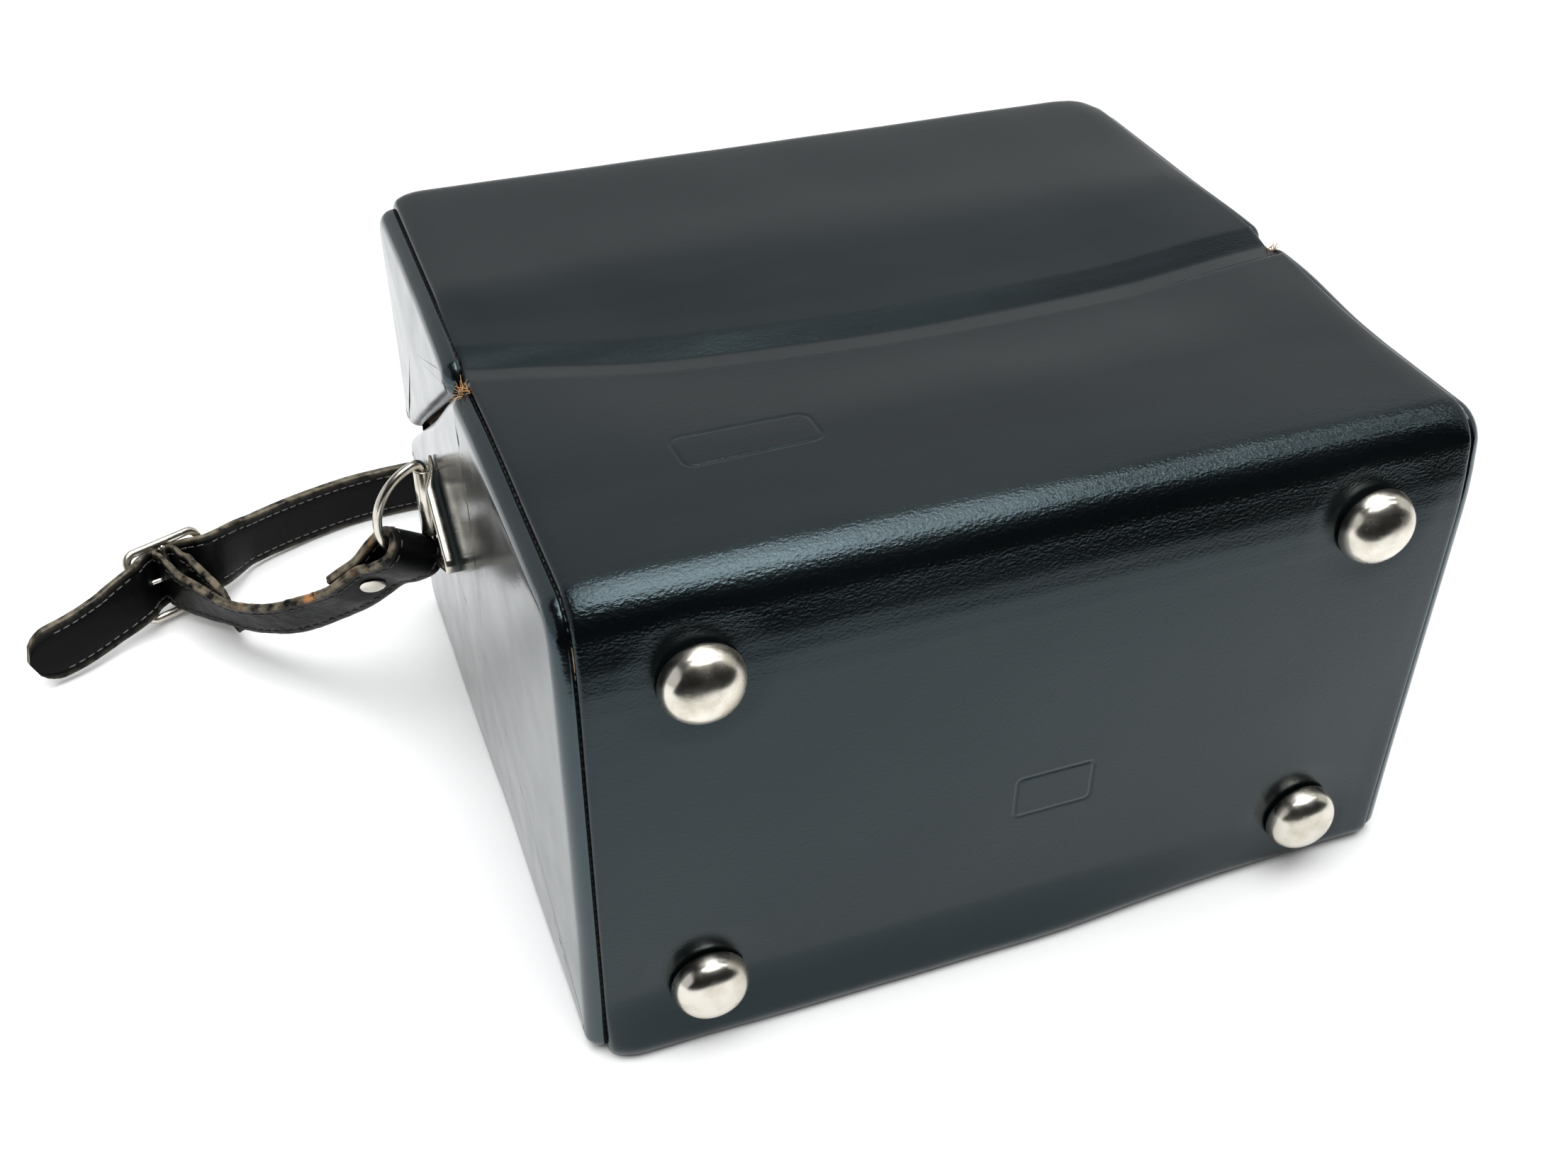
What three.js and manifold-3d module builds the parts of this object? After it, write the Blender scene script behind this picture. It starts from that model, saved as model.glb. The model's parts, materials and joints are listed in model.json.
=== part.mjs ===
// A rigid leather carrying case, lying on its front panel as it is put down to show its base.
// X runs along the case's width, Y from its base (-Y, with four domed feet) to its top (+Y), and
// Z up from the front panel to the back panel. The origin is the centre of the front panel's outer
// face. The lid is a wedge: the upper part of the back with the rear half of the top, hinged on a
// crease in the back leather. A carrying strap in two lengths, joined by a buckle, hangs on two
// D-rings. All sizes are in millimetres.
import * as THREE from 'three';
import { mergeVertices } from 'three/addons/utils/BufferGeometryUtils.js';
import Module from 'manifold-3d';

// ---------------------------------------------------------------- driving dimensions

const CASE_WIDTH = 220;
const CASE_HEIGHT = 200;
const CASE_DEPTH = 137;
const LID_DEPTH = 142;
const FIT_GAP = 0.3;
const DRILL_LENGTH = 20;
const DRILL_SIDES = 16;

const LEATHER = 1.5;
const BOARD = 3;
const LINING = 1;
const END_COVER = 4.1;
const END_COVER_ROUNDING = 3;
const PARTING_INSET = 0.8;

const HINGE_Y = -6;
const HINGE_Z = 136;
const PARTING_TOP_Z = 62;

const FOOT_RADIUS = 9.2;
const FOOT_HEIGHT = 7.4;
const FOOT_NECK = 1.2;
const FOOT_NECK_RADIUS = 4.6;
const FOOT_EDGE = 0.4;
const FOOT_SPREAD = 84;
const FOOT_FRONT_Z = 18.4;
const FOOT_BACK_Z = 114.6;
const SHANK_RADIUS = 1.6;

const RING_WIRE = 1.35;
const RING_RADIUS = 15.8;
const RING_BEND = 2.5;
const RING_Y = 52;
const RING_Z = 66.5;
const RING_JOINT = 0.15;
const RING_SWING = THREE.MathUtils.degToRad(18);

const PLATE_Z = 69;
const PLATE_APEX_Y = 14;
const PLATE_BASE_Y = 50;
const PLATE_HALF = 19;
const PLATE_SHEET = 1;
const PLATE_RIM = 4;
const TUBE_RADIUS = 2.6;
const TUBE_LENGTH = 22;
const RIVET_OFFSET = 8;
const PLATE_RIVET_Y = PLATE_BASE_Y - 12;
const PLATE_SHANK = 1.2;
const PLATE_SHANK_DEPTH = 1.7;
const PLATE_HEAD = 2.6;
const PLATE_HEAD_HEIGHT = 1.2;
const PLATE_RIM_WALL = 1.3;
const PLATE_WEB = 4;
const PLATE_OPEN_FROM = 8;

const STRAP_WIDTH = 18.5;
const STRAP_THICK = 2.8;
const STRAP_JOIN_GAP = 1.3;
const FOLD_ANGLE = THREE.MathUtils.degToRad(55);
const FOLD_RIVET = 17;
const FOLD_FRONT_END = 27.5;
const FOLD_BACK_END = 26;
const FOLD_RIVET_HEAD = 3.8;
const FOLD_RIVET_DOME = 1.1;
const FOLD_SHANK = 1.2;

const BUCKLE_LENGTH = 27;
const BUCKLE_HEIGHT = 25;
const BUCKLE_WIRE = 1.1;
const BUCKLE_CORNER = 3.5;
const PRONG_RADIUS = 0.9;
const PRONG_PLAY = 0.4;
const PRONG_RANGE = 12;

const LOCK_Z = 45;
const LOCK_PLATE = 0.8;
const LOCK_LEATHER = 1.8;
const LOCK_FRAME = 1.1;
const TONGUE_HALF = 15;
const TONGUE_ROOT_Z = 82;
const TONGUE_TIP_Z = 24;
const TONGUE_ROOT_GAP = 3;
const TONGUE_CORNER = 6;
const LOCK_CORNER = 4;
const LOCK_PLATE_LOW = [-9, 31];
const LOCK_PLATE_HIGH = [9, 54];
const SLOT_HALF = 3.1;
const SLOT_LOW = 12.5;
const SLOT_HIGH = 5.3;
const SLOT_CORNER = 0.5;
const SLEEVE_CORNER = 1.2;
const WING_HALF = 4.5;
const WING_THICK = 3.2;
const WING_HEIGHT = 2.6;
const WING_CORNER = 1.4;
const STEM_RADIUS = 1.5;

// ---------------------------------------------------------------- sizes that follow from them

const HALF_WIDTH = CASE_WIDTH / 2;
const HALF_HEIGHT = CASE_HEIGHT / 2;
const BOARD_INSET = LEATHER + FIT_GAP;
const LINING_INSET = BOARD_INSET + BOARD + FIT_GAP;
const END_BOARD = 2.2;
const END_BOARD_X = HALF_WIDTH + 0.1;
const SHELL_HALF = END_BOARD_X - END_BOARD - FIT_GAP;
const LINING_HALF = SHELL_HALF - FIT_GAP;
const END_COVER_X = END_BOARD_X + FIT_GAP;
const END_FACE_X = END_COVER_X + END_COVER;
const PARTING_SLOPE = (PARTING_TOP_Z - HINGE_Z) / (HALF_HEIGHT - HINGE_Y);

// ---------------------------------------------------------------- materials

function material(color, roughness, metalness = 0) {
  return () => new THREE.MeshStandardMaterial({ color, roughness, metalness });
}

const blackLeather = material(0x15181b, 0.38);
const strapLeather = material(0x101112, 0.5);
const greyBoard = material(0x8b7f6d, 0.9);
const darkLining = material(0x2b2626, 0.95);
const nickel = material(0xbdb7a6, 0.28, 1);

// ---------------------------------------------------------------- solids and cutting

const wasm = await Module();
wasm.setup();

function toSolid(geometry) {
  const bare = geometry.clone();
  bare.deleteAttribute('normal');
  bare.deleteAttribute('uv');
  const merged = mergeVertices(bare, 1e-4);
  const mesh = new wasm.Mesh({
    numProp: 3,
    vertProperties: new Float32Array(merged.attributes.position.array),
    triVerts: new Uint32Array(merged.index.array),
  });
  return new wasm.Manifold(mesh);
}

function toGeometry(solid) {
  const mesh = solid.getMesh();
  const geometry = new THREE.BufferGeometry();
  geometry.setAttribute('position', new THREE.BufferAttribute(mesh.vertProperties, 3));
  geometry.setIndex(new THREE.BufferAttribute(mesh.triVerts, 1));
  return geometry;
}

function join(...geometries) {
  return toGeometry(geometries.map(toSolid).reduce((whole, piece) => whole.add(piece)));
}

function cut(geometry, ...tools) {
  return toGeometry(tools.map(toSolid).reduce((whole, tool) => whole.subtract(tool), toSolid(geometry)));
}

function keepInside(geometry, region) {
  return toGeometry(toSolid(geometry).intersect(toSolid(region)));
}

// A round tool that goes right through any wall of the case, along Y.
function drill(radius) {
  return new THREE.CylinderGeometry(radius + FIT_GAP, radius + FIT_GAP, DRILL_LENGTH, DRILL_SIDES);
}

function block(low, high) {
  const size = high.map((value, axis) => value - low[axis]);
  const centre = high.map((value, axis) => (value + low[axis]) / 2);
  return new THREE.BoxGeometry(...size).translate(...centre);
}

// ---------------------------------------------------------------- rounded outlines in the Y-Z plane

function corner(y, z, radius) {
  return { point: new THREE.Vector2(y, z), radius };
}

// The edge after each corner of a counter-clockwise outline: its direction and its inward normal.
function outlineEdges(corners) {
  return corners.map((from, index) => {
    const to = corners[(index + 1) % corners.length];
    const direction = to.point.clone().sub(from.point).normalize();
    const inward = new THREE.Vector2(-direction.y, direction.x);
    return { direction, inward };
  });
}

// The same outline moved inwards. A corner that points out gets tighter, and a valley wider.
function insetOutline(corners, inset) {
  const edges = outlineEdges(corners);
  return corners.map((item, index) => {
    const before = edges[(index + edges.length - 1) % edges.length];
    const after = edges[index];
    const pointsOut = before.direction.cross(after.direction) > 0;
    const shift = before.inward.clone().add(after.inward);
    shift.multiplyScalar(inset / (1 + before.inward.dot(after.inward)));
    const radius = Math.max(0.4, item.radius + (pointsOut ? -inset : inset));
    return { point: item.point.clone().add(shift), radius };
  });
}

// Draws the outline into a path, with a true arc at each corner.
function drawOutline(path, corners) {
  const edges = outlineEdges(corners);
  corners.forEach((item, index) => {
    const before = edges[(index + edges.length - 1) % edges.length];
    const after = edges[index];
    const turn = Math.atan2(before.direction.cross(after.direction), before.direction.dot(after.direction));
    const side = Math.sign(turn);
    const setback = item.radius * Math.tan(Math.abs(turn) / 2);
    const start = item.point.clone().addScaledVector(before.direction, -setback);
    const centre = start.clone().addScaledVector(before.inward, side * item.radius);
    const startAngle = Math.atan2(start.y - centre.y, start.x - centre.x);
    path.absarc(centre.x, centre.y, item.radius, startAngle, startAngle + turn, side < 0);
  });
  path.closePath();
  return path;
}

// Turns a shape drawn in Y-Z into a solid that runs along X from x0 to x1.
const ALONG_X = new THREE.Matrix4().makeBasis(
  new THREE.Vector3(0, 1, 0),
  new THREE.Vector3(0, 0, 1),
  new THREE.Vector3(1, 0, 0),
);

function alongX(shape, x0, x1, options = {}) {
  const settings = { depth: x1 - x0, bevelEnabled: false, curveSegments: 4, ...options };
  return new THREE.ExtrudeGeometry(shape, settings).applyMatrix4(ALONG_X).translate(x0, 0, 0);
}

function roundedBox(low, high, radius) {
  return [
    corner(low[0], low[1], radius),
    corner(high[0], low[1], radius),
    corner(high[0], high[1], radius),
    corner(low[0], high[1], radius),
  ];
}

function prism(corners, inset, x0, x1) {
  return alongX(drawOutline(new THREE.Shape(), insetOutline(corners, inset)), x0, x1);
}

function mirrorX(geometry) {
  const flipped = geometry.clone().scale(-1, 1, 1);
  const count = flipped.attributes.position.count;
  const index = flipped.index ? Array.from(flipped.index.array) : [...Array(count).keys()];
  for (let i = 0; i < index.length; i += 3) {
    [index[i], index[i + 1]] = [index[i + 1], index[i]];
  }
  flipped.setIndex(index);
  return flipped;
}

// ---------------------------------------------------------------- the case's outlines

const partingZ = (y) => HINGE_Z + (y - HINGE_Y) * PARTING_SLOPE;

const frontBottom = corner(-HALF_HEIGHT, 0, 9);
const frontTop = corner(HALF_HEIGHT, 0, 10);
const lidCorner = corner(HALF_HEIGHT, LID_DEPTH, 15);
const lidShoulder = corner(20, LID_DEPTH - 1.8, 40);
const crease = corner(HINGE_Y, HINGE_Z, 8);
const backShoulder = corner(-52, CASE_DEPTH - 0.2, 70);
const backBottom = corner(-HALF_HEIGHT, CASE_DEPTH, 14);
const topParting = corner(HALF_HEIGHT, PARTING_TOP_Z, 5);
const hingeEnd = corner(HINGE_Y, HINGE_Z, 5);

const caseOutline = [frontBottom, frontTop, lidCorner, lidShoulder, crease, backShoulder, backBottom];
const bodyEndOutline = [frontBottom, frontTop, topParting, hingeEnd, backShoulder, backBottom];
const lidEndOutline = [hingeEnd, topParting, lidCorner, lidShoulder];

// Everything on the lid's side of the parting, moved off it by half of the gap.
function lidSide(clearance) {
  const reach = 60;
  const edgeY = HINGE_Y + clearance;
  const farY = HALF_HEIGHT + reach;
  const shape = new THREE.Shape();
  shape.moveTo(edgeY, LID_DEPTH + reach);
  shape.lineTo(edgeY, partingZ(edgeY) + clearance);
  shape.lineTo(farY, partingZ(farY) + clearance);
  shape.lineTo(farY, LID_DEPTH + reach);
  return alongX(shape, -HALF_WIDTH - reach, HALF_WIDTH + reach);
}

const LID_REGION = lidSide(FIT_GAP);
const NOT_BODY_REGION = lidSide(-FIT_GAP);

// A hollow wall that follows the case's outline between two insets.
function wall(outerInset, innerInset, half) {
  const inner = prism(caseOutline, innerInset, -half - 1, half + 1);
  return cut(prism(caseOutline, outerInset, -half, half), inner);
}

const bodyPart = (geometry) => cut(geometry, NOT_BODY_REGION);
const lidPart = (geometry) => keepInside(geometry, LID_REGION);

// ---------------------------------------------------------------- assembly

const carryingCase = new THREE.Group();

function place(name, geometry, look, parent = carryingCase) {
  const mesh = new THREE.Mesh(geometry, look());
  mesh.name = name;
  parent.add(mesh);
  return mesh;
}

// ---------------------------------------------------------------- leather skins

const SEAM_Y = -HALF_HEIGHT + 11;
const FAR = 400;
const leatherWall = wall(0, LEATHER, HALF_WIDTH);
const frontZone = block([-FAR, SEAM_Y + FIT_GAP, -FAR], [FAR, FAR, FAR]);
const lowZone = block([-FAR, -FAR, -FAR], [FAR, FAR, CASE_DEPTH / 2]);
const bodyLeather = bodyPart(leatherWall);

const footPlaces = [
  ['back_left', -FOOT_SPREAD, FOOT_BACK_Z],
  ['back_right', FOOT_SPREAD, FOOT_BACK_Z],
  ['front_left', -FOOT_SPREAD, FOOT_FRONT_Z],
  ['front_right', FOOT_SPREAD, FOOT_FRONT_Z],
];

const shankHoles = footPlaces.map(([, x, z]) => drill(SHANK_RADIUS).translate(x, -HALF_HEIGHT, z));

const frontLeatherZone = keepInside(frontZone, lowZone);
place('front_leather', keepInside(bodyLeather, frontLeatherZone), blackLeather);
const notFront = block([-FAR, SEAM_Y, -FAR], [FAR, FAR, CASE_DEPTH / 2]);
place('base_and_back_leather', cut(bodyLeather, notFront, ...shankHoles), blackLeather);
place('lid_leather', lidPart(leatherWall), blackLeather);

// ---------------------------------------------------------------- stiffening boards

const boardWall = wall(BOARD_INSET, BOARD_INSET + BOARD, SHELL_HALF);
const BASE_BOARD_Y = -HALF_HEIGHT + 13;
const TOP_BOARD_Y = HALF_HEIGHT - 15;
const bodyBoards = bodyPart(boardWall);
const lidBoards = lidPart(boardWall);

function boardBetween(boards, y0, y1, z0, z1) {
  return keepInside(boards, block([-FAR, y0, z0], [FAR, y1, z1]));
}

const midDepth = CASE_DEPTH / 2;
const baseBoard = boardBetween(bodyBoards, -FAR, BASE_BOARD_Y, -FAR, FAR);
place('base_board', cut(baseBoard, ...shankHoles), greyBoard);
const frontBoard = boardBetween(bodyBoards, BASE_BOARD_Y + FIT_GAP, TOP_BOARD_Y, -FAR, midDepth);
place('front_board', frontBoard, greyBoard);
place('top_board', boardBetween(bodyBoards, TOP_BOARD_Y + FIT_GAP, FAR, -FAR, midDepth), greyBoard);
place('back_board', boardBetween(bodyBoards, BASE_BOARD_Y + FIT_GAP, FAR, midDepth, FAR), greyBoard);
place('lid_back_board', boardBetween(lidBoards, -FAR, TOP_BOARD_Y, midDepth, FAR), greyBoard);
place('lid_top_board', boardBetween(lidBoards, TOP_BOARD_Y + FIT_GAP, FAR, -FAR, FAR), greyBoard);

// ---------------------------------------------------------------- end boards and padded end covers

// A padded cover: its outer edges are rounded, and its inner side is flat on the end board.
function endCover(corners) {
  const rounding = END_COVER_ROUNDING;
  const shape = drawOutline(new THREE.Shape(), insetOutline(corners, PARTING_INSET));
  const padded = alongX(shape, END_COVER_X, END_FACE_X - rounding, {
    bevelEnabled: true,
    bevelThickness: rounding,
    bevelSize: rounding,
    bevelOffset: -rounding,
    bevelSegments: 3,
    curveSegments: 3,
  });
  return cut(padded, block([-FAR, -FAR, -FAR], [END_COVER_X, FAR, FAR]));
}

const endBoard = (corners) => prism(corners, BOARD_INSET, END_BOARD_X - END_BOARD, END_BOARD_X);
const ends = {
  body: { board: endBoard(bodyEndOutline), cover: endCover(bodyEndOutline) },
  lid: { board: endBoard(lidEndOutline), cover: endCover(lidEndOutline) },
};

// The body's covers have a hole for the shank of each rivet in the ring plates.
const plateRivetHoles = [-RIVET_OFFSET, RIVET_OFFSET].map((offset) => {
  const hole = drill(PLATE_SHANK).rotateZ(Math.PI / 2);
  return hole.translate(END_FACE_X, PLATE_RIVET_Y, PLATE_Z + offset);
});
ends.body.cover = cut(ends.body.cover, ...plateRivetHoles);

for (const [owner, { board, cover }] of Object.entries(ends)) {
  place(`${owner}_end_board_right`, board, greyBoard);
  place(`${owner}_end_board_left`, mirrorX(board), greyBoard);
  place(`${owner}_end_cover_right`, cover, blackLeather);
  place(`${owner}_end_cover_left`, mirrorX(cover), blackLeather);
}

// ---------------------------------------------------------------- lining

const liningBox = cut(
  prism(caseOutline, LINING_INSET, -LINING_HALF, LINING_HALF),
  prism(caseOutline, LINING_INSET + LINING, -LINING_HALF + LINING, LINING_HALF - LINING),
);
place('body_lining', bodyPart(liningBox), darkLining);
place('lid_lining', lidPart(liningBox), darkLining);

// ---------------------------------------------------------------- feet

// A domed foot on a short neck, with a shank that holds it through the leather and the base board.
function footGeometry() {
  const shankEnd = -(BOARD_INSET + BOARD - FIT_GAP);
  const profile = [
    new THREE.Vector2(0, shankEnd),
    new THREE.Vector2(SHANK_RADIUS, shankEnd),
    new THREE.Vector2(SHANK_RADIUS, FIT_GAP),
    new THREE.Vector2(FOOT_NECK_RADIUS, FIT_GAP),
    new THREE.Vector2(FOOT_NECK_RADIUS, FOOT_NECK),
    new THREE.Vector2(FOOT_RADIUS - FIT_GAP, FOOT_NECK),
  ];
  const steps = 7;
  const fullness = 0.8;
  for (let step = 0; step <= steps; step += 1) {
    const angle = (Math.PI / 2) * (step / steps);
    const radius = step === steps ? 0 : FOOT_RADIUS * Math.cos(angle) ** fullness;
    const height = FOOT_NECK + FOOT_EDGE + FOOT_HEIGHT * Math.sin(angle) ** fullness;
    profile.push(new THREE.Vector2(radius, height));
  }
  return new THREE.LatheGeometry(profile, 28);
}

for (const [name, x, z] of footPlaces) {
  const foot = place(`foot_${name}`, footGeometry(), nickel);
  foot.rotation.x = Math.PI;
  foot.position.set(x, -HALF_HEIGHT, z);
}

// ---------------------------------------------------------------- ring plates

const RING_X = END_FACE_X + FIT_GAP + TUBE_RADIUS;

// A stamped triangular plate with a raised rim, and a rolled tube that holds the D-ring's bar.
function ringPlate() {
  const foot = END_FACE_X + FIT_GAP;
  const corners = [
    corner(PLATE_APEX_Y, PLATE_Z, 4),
    corner(PLATE_BASE_Y, PLATE_Z - PLATE_HALF, 3.5),
    corner(PLATE_BASE_Y, PLATE_Z + PLATE_HALF, 3.5),
  ];
  const sheet = prism(corners, 0, foot, foot + PLATE_SHEET);
  const rim = cut(
    prism(corners, 0, foot, foot + PLATE_RIM),
    prism(corners, PLATE_RIM_WALL, foot - 1, foot + PLATE_RIM + 1),
    block([0, RING_Y - PLATE_OPEN_FROM, 0], [FAR, FAR, FAR]),
  );
  const tube = new THREE.CylinderGeometry(TUBE_RADIUS, TUBE_RADIUS, TUBE_LENGTH, 20);
  tube.rotateX(Math.PI / 2).translate(RING_X, RING_Y, PLATE_Z);
  const halfTube = TUBE_LENGTH / 2;
  const web = block(
    [foot, RING_Y - PLATE_WEB, PLATE_Z - halfTube],
    [foot + PLATE_SHEET, RING_Y, PLATE_Z + halfTube],
  );
  const bore = drill(RING_WIRE).scale(1, 2, 1).rotateX(Math.PI / 2).translate(RING_X, RING_Y, PLATE_Z);
  return cut(join(sheet, rim, tube, web), bore, ...plateRivetHoles);
}

// A domed rivet that holds the plate: its shank stays inside the padded cover.
function plateRivet() {
  const seat = PLATE_SHEET + FIT_GAP * 2;
  const profile = [
    new THREE.Vector2(0, -PLATE_SHANK_DEPTH),
    new THREE.Vector2(PLATE_SHANK, -PLATE_SHANK_DEPTH),
    new THREE.Vector2(PLATE_SHANK, seat),
    new THREE.Vector2(PLATE_HEAD, seat),
    new THREE.Vector2(PLATE_HEAD * 0.9, seat + PLATE_HEAD_HEIGHT * 0.5),
    new THREE.Vector2(PLATE_HEAD * 0.5, seat + PLATE_HEAD_HEIGHT * 0.9),
    new THREE.Vector2(0, seat + PLATE_HEAD_HEIGHT),
  ];
  return new THREE.LatheGeometry(profile, 16).rotateZ(-Math.PI / 2);
}

for (const side of [-1, 1]) {
  const name = side < 0 ? 'left' : 'right';
  const facing = (geometry) => (side < 0 ? mirrorX(geometry) : geometry);
  place(`ring_plate_${name}`, facing(ringPlate()), nickel);
  for (const [where, offset] of [['lower', -RIVET_OFFSET], ['upper', RIVET_OFFSET]]) {
    const rivet = place(`plate_rivet_${name}_${where}`, plateRivet(), nickel);
    rivet.rotation.y = side < 0 ? Math.PI : 0;
    rivet.position.set(side * END_FACE_X, PLATE_RIVET_Y, PLATE_Z + offset);
  }
}

// ---------------------------------------------------------------- D-rings

const vector = (x, y, z) => new THREE.Vector3(x, y, z);
const UP_Z = vector(0, 0, 1);

// Where a point of a D-ring lies: its distance out from the bar, and its height above the middle.
function ringPoint(side, out, up) {
  const swing = side < 0 ? RING_SWING : -RING_SWING;
  return vector(side * (RING_X + out * Math.cos(swing)), RING_Y - out * Math.sin(swing), RING_Z + up);
}

// A bent wire: half of a straight bar, round the bow, and back to the butt joint inside the tube.
function ringGeometry(side) {
  const points = [];
  const straight = RING_RADIUS - RING_BEND;
  const bendMiddle = RING_BEND * (1 - Math.SQRT1_2);
  points.push([0, -RING_JOINT], [0, -straight / 2], [0, -straight]);
  points.push([bendMiddle, -RING_RADIUS + bendMiddle]);
  const bowSteps = 8;
  const bowAngle = Math.acos(RING_BEND / RING_RADIUS);
  for (let step = 0; step <= bowSteps; step += 1) {
    const angle = bowAngle * (2 * (step / bowSteps) - 1);
    points.push([RING_RADIUS * Math.cos(angle), RING_RADIUS * Math.sin(angle)]);
  }
  points.push([bendMiddle, RING_RADIUS - bendMiddle]);
  points.push([0, straight], [0, straight / 2], [0, RING_JOINT]);
  const path = new THREE.CatmullRomCurve3(points.map(([out, up]) => ringPoint(side, out, up)));
  const section = new THREE.Shape();
  section.absarc(0, 0, RING_WIRE, 0, Math.PI * 2);
  return new THREE.ExtrudeGeometry(section, { steps: 44, extrudePath: path, curveSegments: 5 });
}

for (const side of [-1, 1]) {
  place(side < 0 ? 'd_ring_left' : 'd_ring_right', ringGeometry(side), nickel);
}

// ---------------------------------------------------------------- strap

// A curve along a strap's middle which also knows where its width points and how thick it is there.
// Steps are shared evenly between the stations, so they are short where the stations are close.
class StrapPath extends THREE.CatmullRomCurve3 {
  constructor(stations) {
    super(stations.map((item) => item.centre), false, 'centripetal');
    this.stations = stations;
  }

  getUtoTmapping(u) {
    return u;
  }

  computeFrenetFrames(segments) {
    const frames = { tangents: [], normals: [], binormals: [] };
    const last = this.stations.length - 1;
    for (let step = 0; step <= segments; step += 1) {
      const along = (step / segments) * last;
      const index = Math.min(last - 1, Math.floor(along));
      const [from, to] = [this.stations[index], this.stations[index + 1]];
      const blend = along - index;
      const tangent = this.getTangent(step / segments);
      const width = from.width.clone().lerp(to.width, blend);
      width.addScaledVector(tangent, -width.dot(tangent)).normalize();
      const thickness = THREE.MathUtils.lerp(from.thickness, to.thickness, blend);
      frames.tangents.push(tangent);
      frames.normals.push(width);
      frames.binormals.push(tangent.clone().cross(width).multiplyScalar(thickness));
    }
    return frames;
  }
}

const station = (centre, width, thickness = 1) => ({ centre, width, thickness });

// A flat strap with chamfered edges, swept along its stations.
function strapGeometry(stations, stepsBetween = 3) {
  const halfWidth = STRAP_WIDTH / 2;
  const halfThick = STRAP_THICK / 2;
  const chamfer = STRAP_THICK / 4;
  const section = new THREE.Shape();
  section.moveTo(halfWidth, halfThick - chamfer);
  section.lineTo(halfWidth - chamfer, halfThick);
  section.lineTo(chamfer - halfWidth, halfThick);
  section.lineTo(-halfWidth, halfThick - chamfer);
  section.lineTo(-halfWidth, chamfer - halfThick);
  section.lineTo(chamfer - halfWidth, -halfThick);
  section.lineTo(halfWidth - chamfer, -halfThick);
  section.lineTo(halfWidth, chamfer - halfThick);
  const steps = (stations.length - 1) * stepsBetween;
  return new THREE.ExtrudeGeometry(section, { steps, extrudePath: new StrapPath(stations) });
}

// The wire bows inwards by this much across the strap's width, and the fold has room for half of it
// on each side.
const RING_BOW = RING_RADIUS - Math.sqrt(RING_RADIUS ** 2 - (STRAP_WIDTH / 2) ** 2);
const FOLD_INNER = RING_WIRE + RING_BOW / 2 + FIT_GAP;

// The frame of a strap's end where it folds round a D-ring. Out points along the doubled strap, away
// from the wire. Width points along the wire. Front points at the layer that runs on as the strap.
function foldFrame(side, towards) {
  const wireAngle = -FOLD_ANGLE;
  const wire = ringPoint(side, RING_RADIUS * Math.cos(wireAngle), RING_RADIUS * Math.sin(wireAngle));
  const inward = ringPoint(side, 0, 0).sub(wire).normalize();
  const bar = ringPoint(side, 1, 0).sub(ringPoint(side, 0, 0)).normalize();
  const width = bar.addScaledVector(inward, -bar.dot(inward)).normalize();
  const out = towards.clone().sub(wire);
  out.addScaledVector(width, -out.dot(width)).normalize();
  const front = width.clone().cross(out);
  const origin = wire.clone().addScaledVector(inward, RING_BOW / 2);
  const at = (along, across) => origin.clone().addScaledVector(out, along).addScaledVector(front, across);
  return { at, width, out, front };
}

// The doubled end: from the cut end of the back layer, round the wire, to the end of the front layer.
function foldGeometry(frame) {
  const bend = FOLD_INNER + STRAP_THICK / 2;
  const [flatFrom, flatTo] = [FOLD_RIVET - FOLD_RIVET_HEAD, FOLD_RIVET + FOLD_RIVET_HEAD];
  const [narrowing, narrowed] = [flatFrom / 2, bend * 0.8];
  const layers = [
    [FOLD_BACK_END, -LAYER_OFFSET],
    [flatTo, -LAYER_OFFSET],
    [flatFrom, -LAYER_OFFSET],
    [narrowing, -narrowed],
  ];
  const bendSteps = 6;
  for (let step = 0; step <= bendSteps; step += 1) {
    const angle = Math.PI * (0.5 + step / bendSteps);
    layers.push([bend * Math.cos(angle), -bend * Math.sin(angle)]);
  }
  layers.push(
    [narrowing, narrowed],
    [flatFrom, LAYER_OFFSET],
    [flatTo, LAYER_OFFSET],
    [FOLD_FRONT_END, LAYER_OFFSET],
  );
  const ordered = layers.map(([along, across]) => station(frame.at(along, across), frame.width));
  return strapGeometry(ordered, 2);
}

// Room for the tube of the ring plate beside a fold, at whatever angle the D-ring hangs.
function besideBar(side) {
  const room = TUBE_RADIUS + FIT_GAP * 2;
  const reach = 25;
  const out = ringPoint(side, 1, 0).sub(ringPoint(side, 0, 0)).normalize();
  const across = UP_Z.clone().cross(out);
  const turn = new THREE.Matrix4().makeBasis(out, across, UP_Z).setPosition(ringPoint(side, 0, 0));
  return block([-reach, -reach, -reach], [room, reach, reach]).applyMatrix4(turn);
}

const LAYER_OFFSET = (STRAP_THICK + FIT_GAP) / 2;

// A rivet through both layers of a fold, with a low domed head on each side.
function foldRivet() {
  const half = STRAP_THICK + FIT_GAP * 1.5;
  const [rise, shoulder] = [FOLD_RIVET_DOME * 0.8, FOLD_RIVET_HEAD * 0.6];
  const profile = [
    new THREE.Vector2(0, -half - FOLD_RIVET_DOME),
    new THREE.Vector2(shoulder, -half - rise),
    new THREE.Vector2(FOLD_RIVET_HEAD, -half),
    new THREE.Vector2(FOLD_SHANK, -half),
    new THREE.Vector2(FOLD_SHANK, half),
    new THREE.Vector2(FOLD_RIVET_HEAD, half),
    new THREE.Vector2(shoulder, half + rise),
    new THREE.Vector2(0, half + FOLD_RIVET_DOME),
  ];
  return new THREE.LatheGeometry(profile, 18);
}

const LATHE_AXIS = vector(0, 1, 0);

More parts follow.
